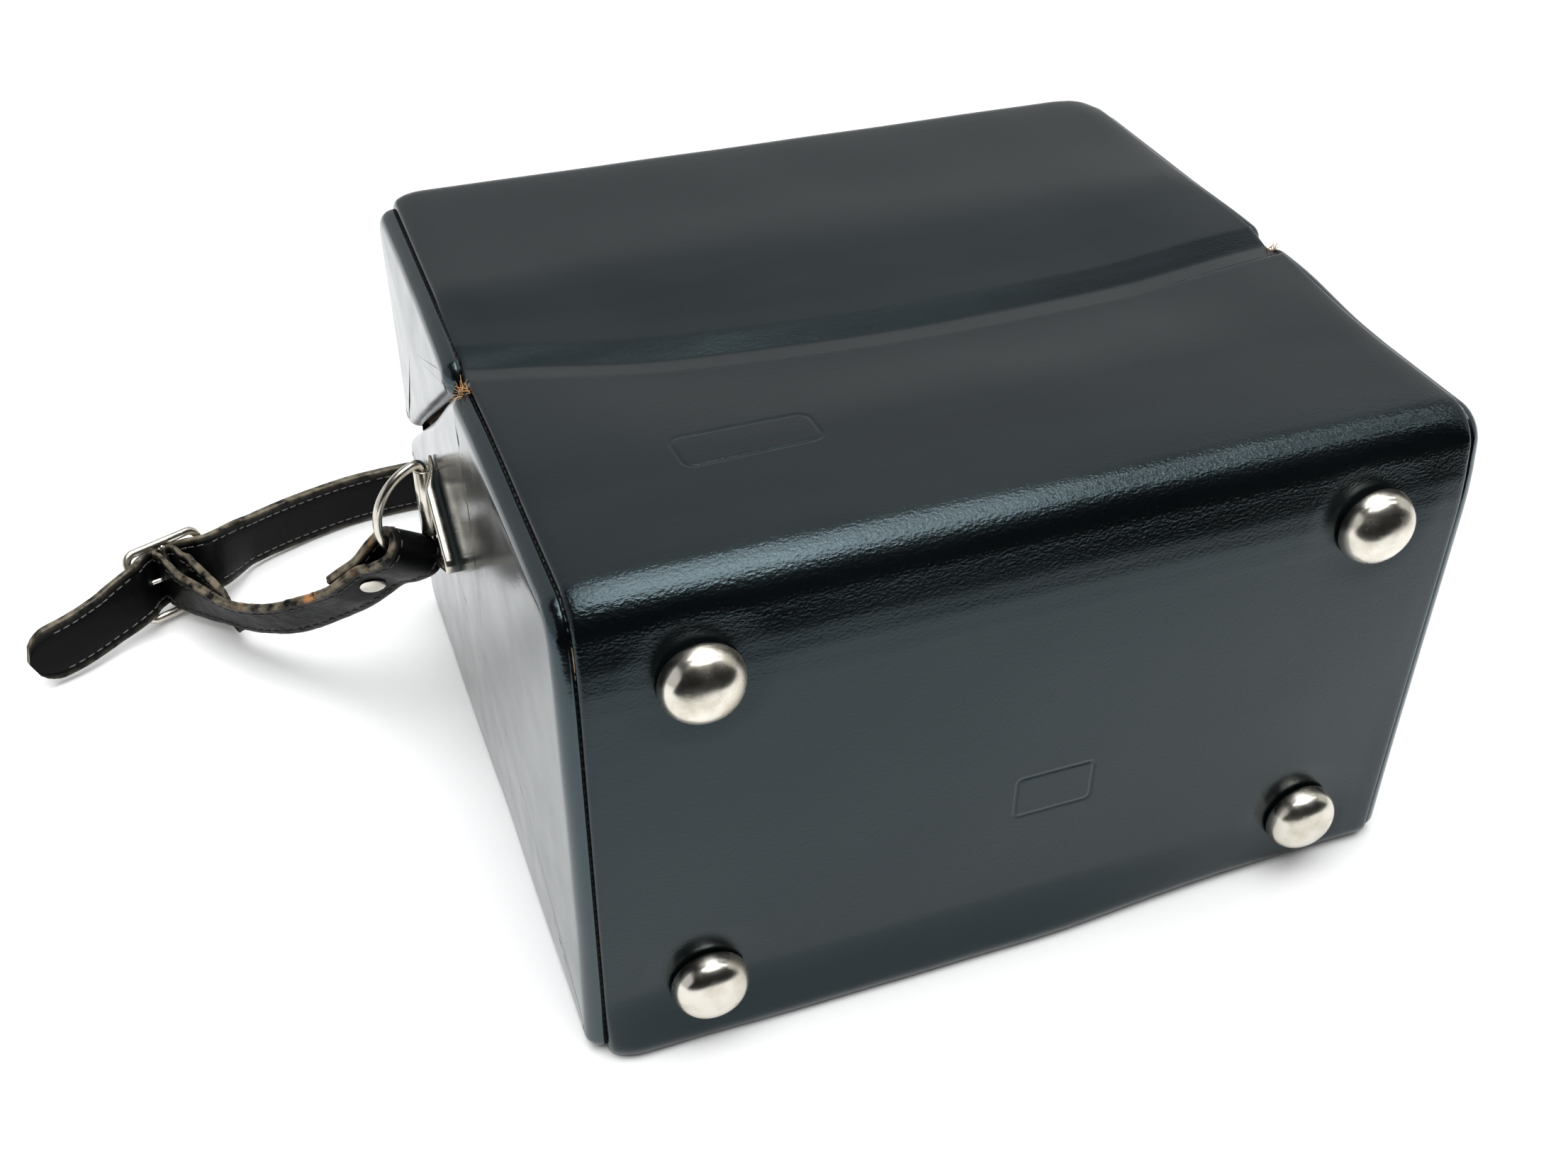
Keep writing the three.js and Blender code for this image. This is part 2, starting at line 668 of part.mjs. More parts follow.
function placeFold(name, side, frame) {
  const turn = new THREE.Quaternion().setFromUnitVectors(LATHE_AXIS, frame.front);
  const middle = frame.at(FOLD_RIVET, 0);
  const hole = drill(FOLD_SHANK).applyQuaternion(turn).translate(middle.x, middle.y, middle.z);
  place(`${name}_fold`, cut(foldGeometry(frame), hole, besideBar(side)), strapLeather);
  const rivet = place(`${name}_rivet`, foldRivet(), nickel);
  rivet.quaternion.copy(turn);
  rivet.position.copy(middle);
}

// The buckle stands beside the case. Its frame leans back, and its length follows the strap.
const buckleUp = vector(-0.13, 0.35, 0.926).normalize();
const buckleAlong = vector(0.899, 0.438, 0);
buckleAlong.addScaledVector(buckleUp, -buckleAlong.dot(buckleUp)).normalize();
const buckleFront = buckleAlong.clone().cross(buckleUp);
const buckleCentre = vector(-193.1, 120.5, 13.1);

function atBuckle(along, front, up = 0) {
  return buckleCentre
    .clone()
    .addScaledVector(buckleAlong, along)
    .addScaledVector(buckleFront, front)
    .addScaledVector(buckleUp, up);
}

// The short strap: from the left D-ring's fold down to the buckle, round its bar, and a little way back.
const shortTowards = vector(-137.4, 58.2, 38.6);
const shortFrame = foldFrame(-1, shortTowards);
placeFold('short_strap', -1, shortFrame);

const freeFrom = FOLD_FRONT_END + STRAP_JOIN_GAP;
const skived = 0.5;
const barBend = BUCKLE_WIRE * Math.SQRT2 + FIT_GAP * 2 + (STRAP_THICK * skived) / 2;
const shortStations = [
  station(shortFrame.at(freeFrom, LAYER_OFFSET), shortFrame.width),
  station(vector(-149.7, 65.9, 29.1), vector(-0.67, -0.27, 0.69)),
  station(vector(-161.9, 74.8, 21.1), vector(-0.6, -0.21, 0.77)),
  station(vector(-173.3, 86.3, 16.2), vector(-0.5, -0.18, 0.85)),
  station(vector(-183.2, 100.2, 14), vector(-0.33, -0.09, 0.94)),
  station(vector(-190.4, 110.4, 13), vector(-0.22, 0.05, 0.97), 0.9),
  station(atBuckle(-barBend, 4, -1), vector(-0.16, 0.25, 0.95), 0.7),
  station(atBuckle(-barBend, 2), buckleUp, skived),
];
const barSteps = 5;
for (let step = 0; step <= barSteps; step += 1) {
  const angle = Math.PI * (1 + step / barSteps);
  const bendPoint = atBuckle(barBend * Math.cos(angle), barBend * Math.sin(angle));
  shortStations.push(station(bendPoint, buckleUp, skived));
}
shortStations.push(
  station(atBuckle(barBend, 2), buckleUp, skived),
  station(atBuckle(barBend, 4, -1), vector(-0.16, 0.25, 0.95), 0.7),
  station(vector(-185.6, 114.6, 13), vector(-0.2, 0.1, 0.97), 0.9),
  station(vector(-180.4, 104.6, 12.6), vector(-0.2, 0, 0.98), 0.9),
  station(vector(-177, 95.5, 12.4), vector(-0.2, 0, 0.98), 0.9),
);

// The long strap: from the right D-ring, behind the case, through the buckle and on to its tail.
const longTowards = vector(137, 62, 42);
const longFrame = foldFrame(1, longTowards);
placeFold('long_strap', 1, longFrame);

const behindBar = barBend + (STRAP_THICK * skived) / 2 + FIT_GAP * 2 + STRAP_THICK / 2;
const overSide = BUCKLE_WIRE + FIT_GAP * 6 + STRAP_THICK / 2;
const hugAngle = THREE.MathUtils.degToRad(35);
const sideAlong = BUCKLE_LENGTH / 2 - BUCKLE_WIRE;
const windowAlong = sideAlong * 0.62;
const windowDepth = -1.2;
const hugAlong = behindBar * Math.sin(hugAngle);
const hugDepth = -behindBar * Math.cos(hugAngle);
const LOW = STRAP_WIDTH / 2 + 0.6;
const longStations = [
  station(longFrame.at(freeFrom, LAYER_OFFSET), longFrame.width),
  station(vector(142.4, 74.5, 23), vector(0.72, 0.2, 0.66)),
  station(vector(143.4, 89, 15.5), vector(0.5, 0.15, 0.85)),
  station(vector(139, 106, 11.5), vector(0.2, 0.1, 0.97)),
  station(vector(128, 123, 10.4), UP_Z),
  station(vector(109, 138, LOW), UP_Z),
  station(vector(82, 147, LOW), UP_Z),
  station(vector(40, 151.5, LOW), UP_Z),
  station(vector(-20, 152.5, LOW), UP_Z),
  station(vector(-75, 151.5, LOW), UP_Z),
  station(vector(-106, 150.8, LOW), UP_Z),
  station(vector(-121, 150.2, LOW), UP_Z),
  station(vector(-134, 148.4, LOW), UP_Z),
  station(vector(-153.5, 141.6, LOW + 0.6), UP_Z),
  station(vector(-168, 134.2, LOW + 1.4), UP_Z),
  station(atBuckle(sideAlong, overSide), buckleUp),
  station(atBuckle(windowAlong, windowDepth), buckleUp),
  station(atBuckle(hugAlong, hugDepth), buckleUp),
  station(atBuckle(0, -behindBar), buckleUp),
  station(atBuckle(-hugAlong, hugDepth), buckleUp),
  station(atBuckle(-windowAlong, windowDepth), buckleUp),
  station(atBuckle(-sideAlong, overSide + FIT_GAP), buckleUp),
  station(vector(-213.5, 105, 12.4), vector(-0.16, 0.12, 0.98)),
  station(vector(-225, 97.6, 11.4), vector(-0.18, 0.1, 0.98)),
  station(vector(-238, 92.5, 10.6), vector(-0.18, 0.1, 0.98)),
];

// ---------------------------------------------------------------- buckle

function buckleGeometry() {
  const band = BUCKLE_WIRE * 2;
  const halfLength = BUCKLE_LENGTH / 2;
  const halfHeight = BUCKLE_HEIGHT / 2;
  const outline = roundedBox([-halfLength, -halfHeight], [halfLength, halfHeight], BUCKLE_CORNER);
  const shape = drawOutline(new THREE.Shape(), outline);
  for (const side of [-1, 1]) {
    const inner = side * BUCKLE_WIRE;
    const outer = side * (halfLength - band);
    const low = [Math.min(inner, outer), band - halfHeight];
    const high = [Math.max(inner, outer), halfHeight - band];
    shape.holes.push(drawOutline(new THREE.Path(), roundedBox(low, high, BUCKLE_CORNER - band)));
  }
  const settings = { depth: band, bevelEnabled: false, curveSegments: 3 };
  return new THREE.ExtrudeGeometry(shape, settings).translate(0, 0, -BUCKLE_WIRE);
}

// The prong: an eye round the bar, and a pin that rests on the far side of the frame's left end.
function prongGeometry(clearance = 0) {
  const eyeInner = BUCKLE_WIRE * Math.SQRT2 + FIT_GAP;
  const eyeOuter = eyeInner + PRONG_RADIUS;
  const pin = PRONG_RADIUS + clearance;
  const eyeShape = new THREE.Shape();
  eyeShape.absarc(0, 0, eyeOuter + clearance, 0, Math.PI * 2);
  const hole = new THREE.Path();
  hole.absarc(0, 0, eyeInner, 0, Math.PI * 2, true);
  if (clearance === 0) {
    eyeShape.holes.push(hole);
  }
  const height = PRONG_RADIUS * 2 + clearance * 2;
  const eye = new THREE.ExtrudeGeometry(eyeShape, { depth: height, bevelEnabled: false, curveSegments: 8 });
  eye.rotateX(-Math.PI / 2).translate(0, -height / 2, 0);
  const from = vector(-(eyeOuter + eyeInner) / 2, 0, 0);
  const to = vector(-BUCKLE_LENGTH / 2 - FIT_GAP * 2, 0, -BUCKLE_WIRE - PRONG_RADIUS - FIT_GAP * 1.5);
  const run = to.clone().sub(from);
  const rod = new THREE.CylinderGeometry(pin * 0.8, pin, run.length(), 10);
  rod.applyQuaternion(new THREE.Quaternion().setFromUnitVectors(LATHE_AXIS, run.clone().normalize()));
  const middle = from.clone().addScaledVector(run, 0.5);
  rod.translate(middle.x, middle.y, middle.z);
  return join(eye, rod);
}

const buckleTurn = new THREE.Matrix4().makeBasis(buckleAlong, buckleUp, buckleFront);
buckleTurn.setPosition(buckleCentre);

// The slot that the prong needs in the leather, from where it rests to where it is drawn back.
const prongSlots = [];
for (let angle = 0; angle <= PRONG_RANGE; angle += PRONG_RANGE / 3) {
  const slot = prongGeometry(PRONG_PLAY).rotateY(-THREE.MathUtils.degToRad(angle));
  prongSlots.push(slot.applyMatrix4(buckleTurn));
}

place('short_strap', cut(strapGeometry(shortStations), ...prongSlots), strapLeather);
place('long_strap', cut(strapGeometry(longStations), ...prongSlots), strapLeather);
place('buckle_frame', buckleGeometry().applyMatrix4(buckleTurn), nickel);
place('buckle_prong', prongGeometry().applyMatrix4(buckleTurn), nickel);

// ---------------------------------------------------------------- turn lock on the top

// A rounded rectangle in X-Z, made solid from y0 to y1, with an optional rounded window.
function plateOnTop(low, high, radius, y0, y1, window) {
  const shape = drawOutline(new THREE.Shape(), roundedBox(low, high, radius));
  if (window) {
    shape.holes.push(drawOutline(new THREE.Path(), roundedBox(window.low, window.high, window.radius)));
  }
  const settings = { depth: y1 - y0, bevelEnabled: false, curveSegments: 4 };
  return new THREE.ExtrudeGeometry(shape, settings).rotateX(Math.PI / 2).translate(0, y1, 0);
}

// A leather tongue, stitched to the lid's top by its thicker root. It reaches down over the body's top.
function lockTongue() {
  const top = HALF_HEIGHT + FIT_GAP;
  const raised = top + LOCK_PLATE + FIT_GAP;
  const rootEnd = partingZ(HALF_HEIGHT) + TONGUE_ROOT_GAP;
  const slot = {
    low: [-SLOT_HALF - LOCK_FRAME, LOCK_Z - SLOT_LOW - LOCK_FRAME],
    high: [SLOT_HALF + LOCK_FRAME, LOCK_Z + SLOT_HIGH + LOCK_FRAME],
    radius: SLEEVE_CORNER + FIT_GAP,
  };
  const low = [-TONGUE_HALF, TONGUE_TIP_Z];
  const high = [TONGUE_HALF, TONGUE_ROOT_Z];
  const strip = plateOnTop(low, high, TONGUE_CORNER, raised, raised + LOCK_LEATHER, slot);
  const root = plateOnTop([-TONGUE_HALF, rootEnd], high, LOCK_CORNER, top, raised + LOCK_LEATHER / 2);
  return join(strip, root);
}

// The metal frame of the tongue's slot: a sleeve through the leather with a flange on its face.
function slotFrame() {
  const under = HALF_HEIGHT + FIT_GAP * 2 + LOCK_PLATE;
  const face = under + LOCK_LEATHER + FIT_GAP;
  const flange = LOCK_FRAME * 2.6;
  const slot = {
    low: [-SLOT_HALF, LOCK_Z - SLOT_LOW],
    high: [SLOT_HALF, LOCK_Z + SLOT_HIGH],
    radius: SLOT_CORNER,
  };
  const grow = (by) => [
    [slot.low[0] - by, slot.low[1] - by],
    [slot.high[0] + by, slot.high[1] + by],
  ];
  const sleeve = plateOnTop(...grow(LOCK_FRAME - FIT_GAP), SLEEVE_CORNER, under, face + LOCK_FRAME, slot);
  return join(sleeve, plateOnTop(...grow(flange), LOCK_CORNER, face, face + LOCK_FRAME, slot));
}

// The plate riveted to the body's top, with a hole for the button's stem.
function lockBasePlate() {
  const top = HALF_HEIGHT + FIT_GAP;
  const plate = plateOnTop(LOCK_PLATE_LOW, LOCK_PLATE_HIGH, LOCK_CORNER, top, top + LOCK_PLATE);
  return cut(plate, drill(STEM_RADIUS).translate(0, top, LOCK_Z));
}

// The button turns about Y. Its wing lies along the slot, which leaves the lid free to open.
function turnButton() {
  const top = HALF_HEIGHT + FIT_GAP;
  const wingFoot = top + LOCK_PLATE + LOCK_LEATHER + LOCK_FRAME + FIT_GAP * 4;
  const stem = new THREE.CylinderGeometry(STEM_RADIUS, STEM_RADIUS, wingFoot + 1 - top, 18);
  stem.translate(0, (wingFoot + 1 + top) / 2, LOCK_Z);
  const low = [-WING_THICK / 2, LOCK_Z - WING_HALF];
  const high = [WING_THICK / 2, LOCK_Z + WING_HALF];
  return join(stem, plateOnTop(low, high, WING_CORNER, wingFoot, wingFoot + WING_HEIGHT));
}

place('lock_tongue', lockTongue(), blackLeather);
place('lock_slot_frame', slotFrame(), nickel);
place('lock_base_plate', lockBasePlate(), nickel);
place('lock_turn_button', turnButton(), nickel);

export default carryingCase;
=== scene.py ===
"""The looks of a rigid black leather carrying case that lies on its front panel.

Lengths are in metres, in the model's frame: X along the width, -Y towards the base with its feet,
+Y towards the top, Z up from the front panel. Outlines and routes are written in millimetres and
scaled by MM.
"""
import json
import math
import random

import bmesh
import bpy
from mathutils import Matrix, Quaternion, Vector, noise


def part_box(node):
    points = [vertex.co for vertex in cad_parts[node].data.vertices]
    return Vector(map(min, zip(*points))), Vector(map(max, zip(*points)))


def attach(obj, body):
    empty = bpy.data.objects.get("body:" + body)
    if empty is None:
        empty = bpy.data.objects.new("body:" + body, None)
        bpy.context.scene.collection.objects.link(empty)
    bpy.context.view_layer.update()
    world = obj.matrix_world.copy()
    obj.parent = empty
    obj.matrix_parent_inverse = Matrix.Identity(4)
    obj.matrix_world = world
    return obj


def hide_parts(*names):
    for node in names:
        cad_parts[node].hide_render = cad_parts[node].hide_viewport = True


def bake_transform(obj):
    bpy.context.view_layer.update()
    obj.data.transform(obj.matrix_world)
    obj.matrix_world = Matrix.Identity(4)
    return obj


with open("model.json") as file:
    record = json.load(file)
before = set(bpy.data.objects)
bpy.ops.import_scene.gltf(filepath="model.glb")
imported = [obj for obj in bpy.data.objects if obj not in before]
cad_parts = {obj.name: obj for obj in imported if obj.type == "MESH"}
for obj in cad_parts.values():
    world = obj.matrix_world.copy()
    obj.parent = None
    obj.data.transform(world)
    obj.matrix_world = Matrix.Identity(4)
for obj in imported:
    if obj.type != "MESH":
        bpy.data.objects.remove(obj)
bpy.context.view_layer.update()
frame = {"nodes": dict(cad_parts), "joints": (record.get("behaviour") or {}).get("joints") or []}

MM = 0.001

# ---------------------------------------------------------------- places taken from the frame

FRONT_LOW, FRONT_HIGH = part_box("front_leather")
BACK_LOW, BACK_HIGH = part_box("base_and_back_leather")
LID_LOW, LID_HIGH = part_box("lid_leather")
COVER_LOW, COVER_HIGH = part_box("body_end_cover_right")
JOINT_PLACE = {joint["name"]: Vector(joint["pos_m"]) for joint in frame["joints"]}

HALF_WIDTH = FRONT_HIGH.x
BASE_Y = BACK_LOW.y
TOP_Y = FRONT_HIGH.y
BACK_Z = BACK_HIGH.z
LID_Z = LID_HIGH.z
SEAM_Y = FRONT_LOW.y
HINGE = JOINT_PLACE["lid_hinge"]
PARTING_Z = (LID_LOW.z + FRONT_HIGH.z) / 2
END_COVER_FOOT = COVER_LOW.x
END_FACE_X = COVER_HIGH.x

LEATHER = 1.5 * MM
FIT_GAP = 0.3 * MM
STRAP_WIDTH = 18.5 * MM
STRAP_THICK = 2.8 * MM
SIDES = ((-1, "left"), (1, "right"))


# ---------------------------------------------------------------- camera

def make_camera():
    azimuth, elevation, roll = (math.radians(angle) for angle in (-20.727, 37.453, 0.557))
    back = Vector((
        math.sin(azimuth) * math.cos(elevation),
        -math.cos(azimuth) * math.cos(elevation),
        math.sin(elevation),
    ))
    data = bpy.data.cameras.new("camera")
    data.sensor_width = 36
    data.lens = 39.7
    data.clip_start = 0.01
    data.clip_end = 30
    camera = bpy.data.objects.new("camera", data)
    camera.location = Vector((-165.65, -365.43, 350.95)) * MM
    camera.rotation_mode = "QUATERNION"
    camera.rotation_quaternion = (-back).to_track_quat("-Z", "Y") @ Quaternion((0, 0, 1), roll)
    bpy.context.scene.collection.objects.link(camera)
    bpy.context.scene.camera = camera


make_camera()


# ---------------------------------------------------------------- node materials

class NodeTree:
    """A small helper that adds and links the nodes of one tree."""

    def __init__(self, owner):
        owner.use_nodes = True
        self.tree = owner.node_tree

    def add(self, kind, **settings):
        node = self.tree.nodes.new(kind)
        for key, value in settings.items():
            setattr(node, key, value)
        return node

    def put(self, socket, value):
        if isinstance(value, bpy.types.NodeSocket):
            self.tree.links.new(value, socket)
        else:
            socket.default_value = value

    def spread(self, value, from_low, from_high, to_low=0.0, to_high=1.0):
        node = self.add("ShaderNodeMapRange")
        self.put(node.inputs["Value"], value)
        for name, number in (("From Min", from_low), ("From Max", from_high)):
            self.put(node.inputs[name], number)
        for name, number in (("To Min", to_low), ("To Max", to_high)):
            self.put(node.inputs[name], number)
        return node.outputs["Result"]

    def maths(self, operation, first, second=0.5):
        node = self.add("ShaderNodeMath", operation=operation)
        self.put(node.inputs[0], first)
        self.put(node.inputs[1], second)
        return node.outputs[0]

    def blend(self, factor, first, second):
        node = self.add("ShaderNodeMix", data_type="RGBA")
        self.put(node.inputs["Factor"], factor)
        self.put(node.inputs["A"], first)
        self.put(node.inputs["B"], second)
        return node.outputs["Result"]


class Nodes(NodeTree):
    """The nodes of one material, with its textures in the object's own space."""

    def __init__(self, name):
        self.material = bpy.data.materials.new(name)
        super().__init__(self.material)
        self.shader = self.tree.nodes["Principled BSDF"]
        self.place = self.add("ShaderNodeTexCoord").outputs["Object"]

    def noise(self, scale, detail=4, roughness=0.5, stretch=(1, 1, 1)):
        mapping = self.add("ShaderNodeMapping")
        self.put(mapping.inputs["Vector"], self.place)
        mapping.inputs["Scale"].default_value = stretch
        node = self.add("ShaderNodeTexNoise")
        self.put(node.inputs["Vector"], mapping.outputs["Vector"])
        self.put(node.inputs["Scale"], scale)
        self.put(node.inputs["Detail"], detail)
        self.put(node.inputs["Roughness"], roughness)
        return node.outputs["Fac"]

    def cells(self, scale):
        node = self.add("ShaderNodeTexVoronoi")
        self.put(node.inputs["Vector"], self.place)
        self.put(node.inputs["Scale"], scale)
        return node.outputs["Distance"]

    def attribute(self, name):
        return self.add("ShaderNodeAttribute", attribute_name=name).outputs["Fac"]

    def bump(self, height, distance, strength=1.0, normal=None):
        node = self.add("ShaderNodeBump")
        self.put(node.inputs["Height"], height)
        self.put(node.inputs["Distance"], distance)
        self.put(node.inputs["Strength"], strength)
        if normal is not None:
            self.put(node.inputs["Normal"], normal)
        return node.outputs["Normal"]

    def surface(self, **values):
        for name, value in values.items():
            self.put(self.shader.inputs[name.replace("_", " ")], value)
        return self.material


def colour(red, green, blue):
    return (red, green, blue, 1.0)


def case_leather(name, gloss, coarse, sheen):
    """Smooth polished box calf: a fine grain, coarser on the roll between base and back, and faint clouds."""
    nodes = Nodes(name)
    clouds = nodes.noise(18, detail=5)
    dust = nodes.spread(nodes.noise(900, detail=2), 0.72, 0.78)
    worn = nodes.maths("MULTIPLY", nodes.attribute("wear"), nodes.spread(nodes.noise(420), 0.42, 0.5))
    black = nodes.blend(clouds, colour(0.0008, 0.0012, 0.0016), colour(0.0022, 0.0030, 0.0036))
    dusty = nodes.blend(nodes.maths("MULTIPLY", dust, 0.03), black, colour(0.3, 0.3, 0.28))
    chipped = nodes.blend(worn, dusty, colour(0.42, 0.26, 0.11))
    grain = nodes.cells(1400)
    peel = nodes.noise(1500, detail=2, stretch=(0.45, 1, 1))
    rubbed = nodes.noise(70, detail=6, stretch=(0.25, 1, 1))
    split = nodes.add("ShaderNodeSeparateXYZ")
    nodes.put(split.inputs[0], nodes.place)
    roll_y, roll_z, fade = -82 * MM, 121 * MM, 8 * MM
    on_roll = nodes.maths(
        "MULTIPLY",
        nodes.spread(split.outputs["Y"], roll_y, roll_y - fade),
        nodes.spread(split.outputs["Z"], roll_z, roll_z + fade),
    )
    strength = nodes.maths("ADD", nodes.maths("MULTIPLY", on_roll, coarse * 2), coarse)
    relief = nodes.bump(grain, 0.00006, strength, nodes.bump(peel, 0.00016, strength))
    roughness = nodes.spread(rubbed, 0.3, 0.7, gloss, gloss + 0.07)
    return nodes.surface(
        Base_Color=chipped,
        Roughness=nodes.maths("ADD", roughness, nodes.maths("MULTIPLY", worn, 0.4)),
        Specular_IOR_Level=sheen,
        Specular_Tint=colour(0.66, 0.91, 1.0),
        Normal=relief,
    )


def strap_leather():
    """Harder used leather: creased across its width, and grey along its worn rims."""
    nodes = Nodes("strap_leather")
    rim = nodes.maths("MULTIPLY", nodes.attribute("rim"), nodes.spread(nodes.noise(260), 0.35, 0.62))
    raw = nodes.maths("MULTIPLY", nodes.attribute("wear"), nodes.spread(nodes.noise(500), 0.45, 0.55))
    black = nodes.blend(nodes.noise(90), colour(0.0006, 0.0007, 0.001), colour(0.0024, 0.0026, 0.003))
    rubbed = nodes.blend(nodes.maths("MULTIPLY", rim, 0.75), black, colour(0.20, 0.17, 0.12))
    torn = nodes.blend(raw, rubbed, colour(0.42, 0.17, 0.05))
    creases = nodes.maths("MULTIPLY", nodes.attribute("creased"), nodes.noise(330, 6, 0.7, (1, 1, 0.35)))
    pores = nodes.cells(1300)
    relief = nodes.bump(pores, 0.00008, 0.4, nodes.bump(creases, 0.0006, 0.8))
    return nodes.surface(
        Base_Color=torn,
        Roughness=nodes.spread(nodes.noise(160, 5), 0.3, 0.7, 0.30, 0.50),
        Specular_IOR_Level=0.09,
        Normal=relief,
    )


def nickel():
    """Worn nickel plate: warm, with fine scratches, cloudy tarnish and a few dark pits."""
    nodes = Nodes("nickel")
    scratches = nodes.noise(240, 8, 0.75, (1, 0.06, 1))
    across = nodes.noise(260, 8, 0.75, (0.06, 1, 1))
    tarnish = nodes.spread(nodes.noise(120, 6), 0.45, 0.75)
    pits = nodes.spread(nodes.cells(420), 0.06, 0.02)
    pitted = nodes.maths("MULTIPLY", pits, nodes.spread(nodes.noise(60), 0.5, 0.62))
    plate = nodes.blend(tarnish, colour(0.66, 0.63, 0.56), colour(0.46, 0.42, 0.34))
    base = nodes.blend(pitted, plate, colour(0.12, 0.08, 0.05))
    lines = nodes.spread(nodes.maths("MAXIMUM", scratches, across), 0.5, 0.8)
    rough = nodes.maths("ADD", nodes.spread(tarnish, 0, 1, 0.18, 0.34), nodes.maths("MULTIPLY", lines, 0.12))
    return nodes.surface(
        Base_Color=base,
        Metallic=1.0,
        Roughness=rough,
        Normal=nodes.bump(lines, 0.00002, 0.5),
    )


def fibre_board():
    nodes = Nodes("fibre_board")
    fibres = nodes.noise(300, 8, 0.7, (0.3, 1, 1))
    base = nodes.blend(fibres, colour(0.20, 0.14, 0.08), colour(0.42, 0.33, 0.22))
    return nodes.surface(Base_Color=base, Roughness=0.9, Normal=nodes.bump(fibres, 0.0002, 0.6))


def lining_cloth():
    """A short napped cloth, brushed one way."""
    nodes = Nodes("lining_cloth")
    nap = nodes.noise(1400, 4, 0.7)
    brushed = nodes.noise(35, 5, 0.6, (1, 0.4, 1))
    base = nodes.blend(brushed, colour(0.035, 0.008, 0.010), colour(0.085, 0.018, 0.022))
    return nodes.surface(
        Base_Color=nodes.blend(nodes.maths("MULTIPLY", nap, 0.35), base, colour(0.16, 0.05, 0.05)),
        Roughness=0.95,
        Sheen_Weight=0.6,
        Sheen_Roughness=0.4,
        Normal=nodes.bump(nap, 0.0003, 0.8),
    )


def thread():
    nodes = Nodes("thread")
    twist = nodes.noise(2600, 3, 0.6, (1, 1, 0.4))
    base = nodes.blend(twist, colour(0.010, 0.010, 0.010), colour(0.045, 0.043, 0.040))
    return nodes.surface(Base_Color=base, Roughness=0.6, Normal=nodes.bump(twist, 0.0001, 0.7))


def raw_fibre():
    nodes = Nodes("raw_fibre")
    base = nodes.blend(nodes.noise(900), colour(0.32, 0.11, 0.03), colour(0.62, 0.40, 0.16))
    return nodes.surface(Base_Color=base, Roughness=0.85)


CASE_LEATHER = case_leather("case_leather", 0.19, 0.24, 0.40)
END_LEATHER = case_leather("polished_end_leather", 0.14, 0.12, 0.75)
STRAP_LEATHER = strap_leather()
NICKEL = nickel()
FIBRE_BOARD = fibre_board()
LINING = lining_cloth()
THREAD = thread()
RAW_FIBRE = raw_fibre()


# ---------------------------------------------------------------- mesh tools

def declare(piece, slot, body, *nodes):
    """Attaches a piece to the body it moves with, and hides the nodes it stands in for. slot is not used."""
    if nodes:
        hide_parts(*nodes)
    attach(piece, body)
    return piece


def make_piece(name, verts, faces, *materials, attributes=None, slots=None):
    """A smooth-shaded object. attributes are per-vertex numbers, and slots a material per face."""
    mesh = bpy.data.meshes.new(name)
    mesh.from_pydata([tuple(v) for v in verts], [], faces)
    for material in materials:
        mesh.materials.append(material)
    if slots:
        mesh.polygons.foreach_set("material_index", slots)
    for key, values in (attributes or {}).items():
        mesh.attributes.new(key, "FLOAT", "POINT").data.foreach_set("value", values)
    mesh.validate()
    tidy = bmesh.new()
    tidy.from_mesh(mesh)
    bmesh.ops.recalc_face_normals(tidy, faces=tidy.faces)
    tidy.to_mesh(mesh)
    tidy.free()
    mesh.shade_smooth()
    piece = bpy.data.objects.new(name, mesh)
    bpy.context.scene.collection.objects.link(piece)
    return piece


def grid_faces(rows, columns, offset=0, wrap_rows=False, wrap_columns=False):
    faces = []
    for row in range(rows if wrap_rows else rows - 1):
        below = (row + 1) % rows
        for column in range(columns if wrap_columns else columns - 1):
            right = (column + 1) % columns
            corners = (row, column), (row, right), (below, right), (below, column)
            faces.append([offset + r * columns + c for r, c in corners])
    return faces


def swept(name, centres, frames, section, material, closed=False):
    """A solid that carries a closed section along centres. section(i) gives its points there."""
    verts = []
    for index, (centre, (across, up)) in enumerate(zip(centres, frames)):
        for u, v in section(index):
            verts.append(centre + across * u + up * v)
    count = len(section(0))
    faces = grid_faces(len(centres), count, wrap_rows=closed, wrap_columns=True)
    if not closed:
        faces.append(list(range(count))[::-1])
        faces.append([(len(centres) - 1) * count + i for i in range(count)])
    return make_piece(name, verts, faces, material)


def step_across(points, index, closed=False):
    """From the point before one of a line's points to the point after it."""
    if closed:
        return points[(index + 1) % len(points)] - points[index - 1]
    return points[min(index + 1, len(points) - 1)] - points[max(index - 1, 0)]


def carried_frames(centres, first_across, closed=False):
    """Frames that turn as little as they can along a line of points."""
    frames = []
    across = first_across
    for index in range(len(centres)):
        tangent = step_across(centres, index, closed).normalized()
        across = (across - tangent * across.dot(tangent)).normalized()
        frames.append((across, tangent.cross(across)))
    return frames


def circle(radius, count=20):
    turns = [2 * math.pi * index / count for index in range(count)]
    return [(radius * math.cos(turn), radius * math.sin(turn)) for turn in turns]


def lathe(name, profile, place, segments, bored=False):
    """A turned nickel piece. profile is (radius, height) points, and place puts its +Z axis in the frame.

    A bored piece's profile closes on itself, so that a hole goes through it.
    """
    verts = []
    for radius, height in profile:
        for index in range(segments):
            turn = 2 * math.pi * index / segments
            verts.append(place @ Vector((radius * math.cos(turn), radius * math.sin(turn), height)))
    faces = grid_faces(len(profile), segments, wrap_rows=bored, wrap_columns=True)
    if not bored:
        faces.append(list(range(segments)))
        faces.append([(len(profile) - 1) * segments + index for index in range(segments)][::-1])
    return make_piece(name, verts, faces, NICKEL)


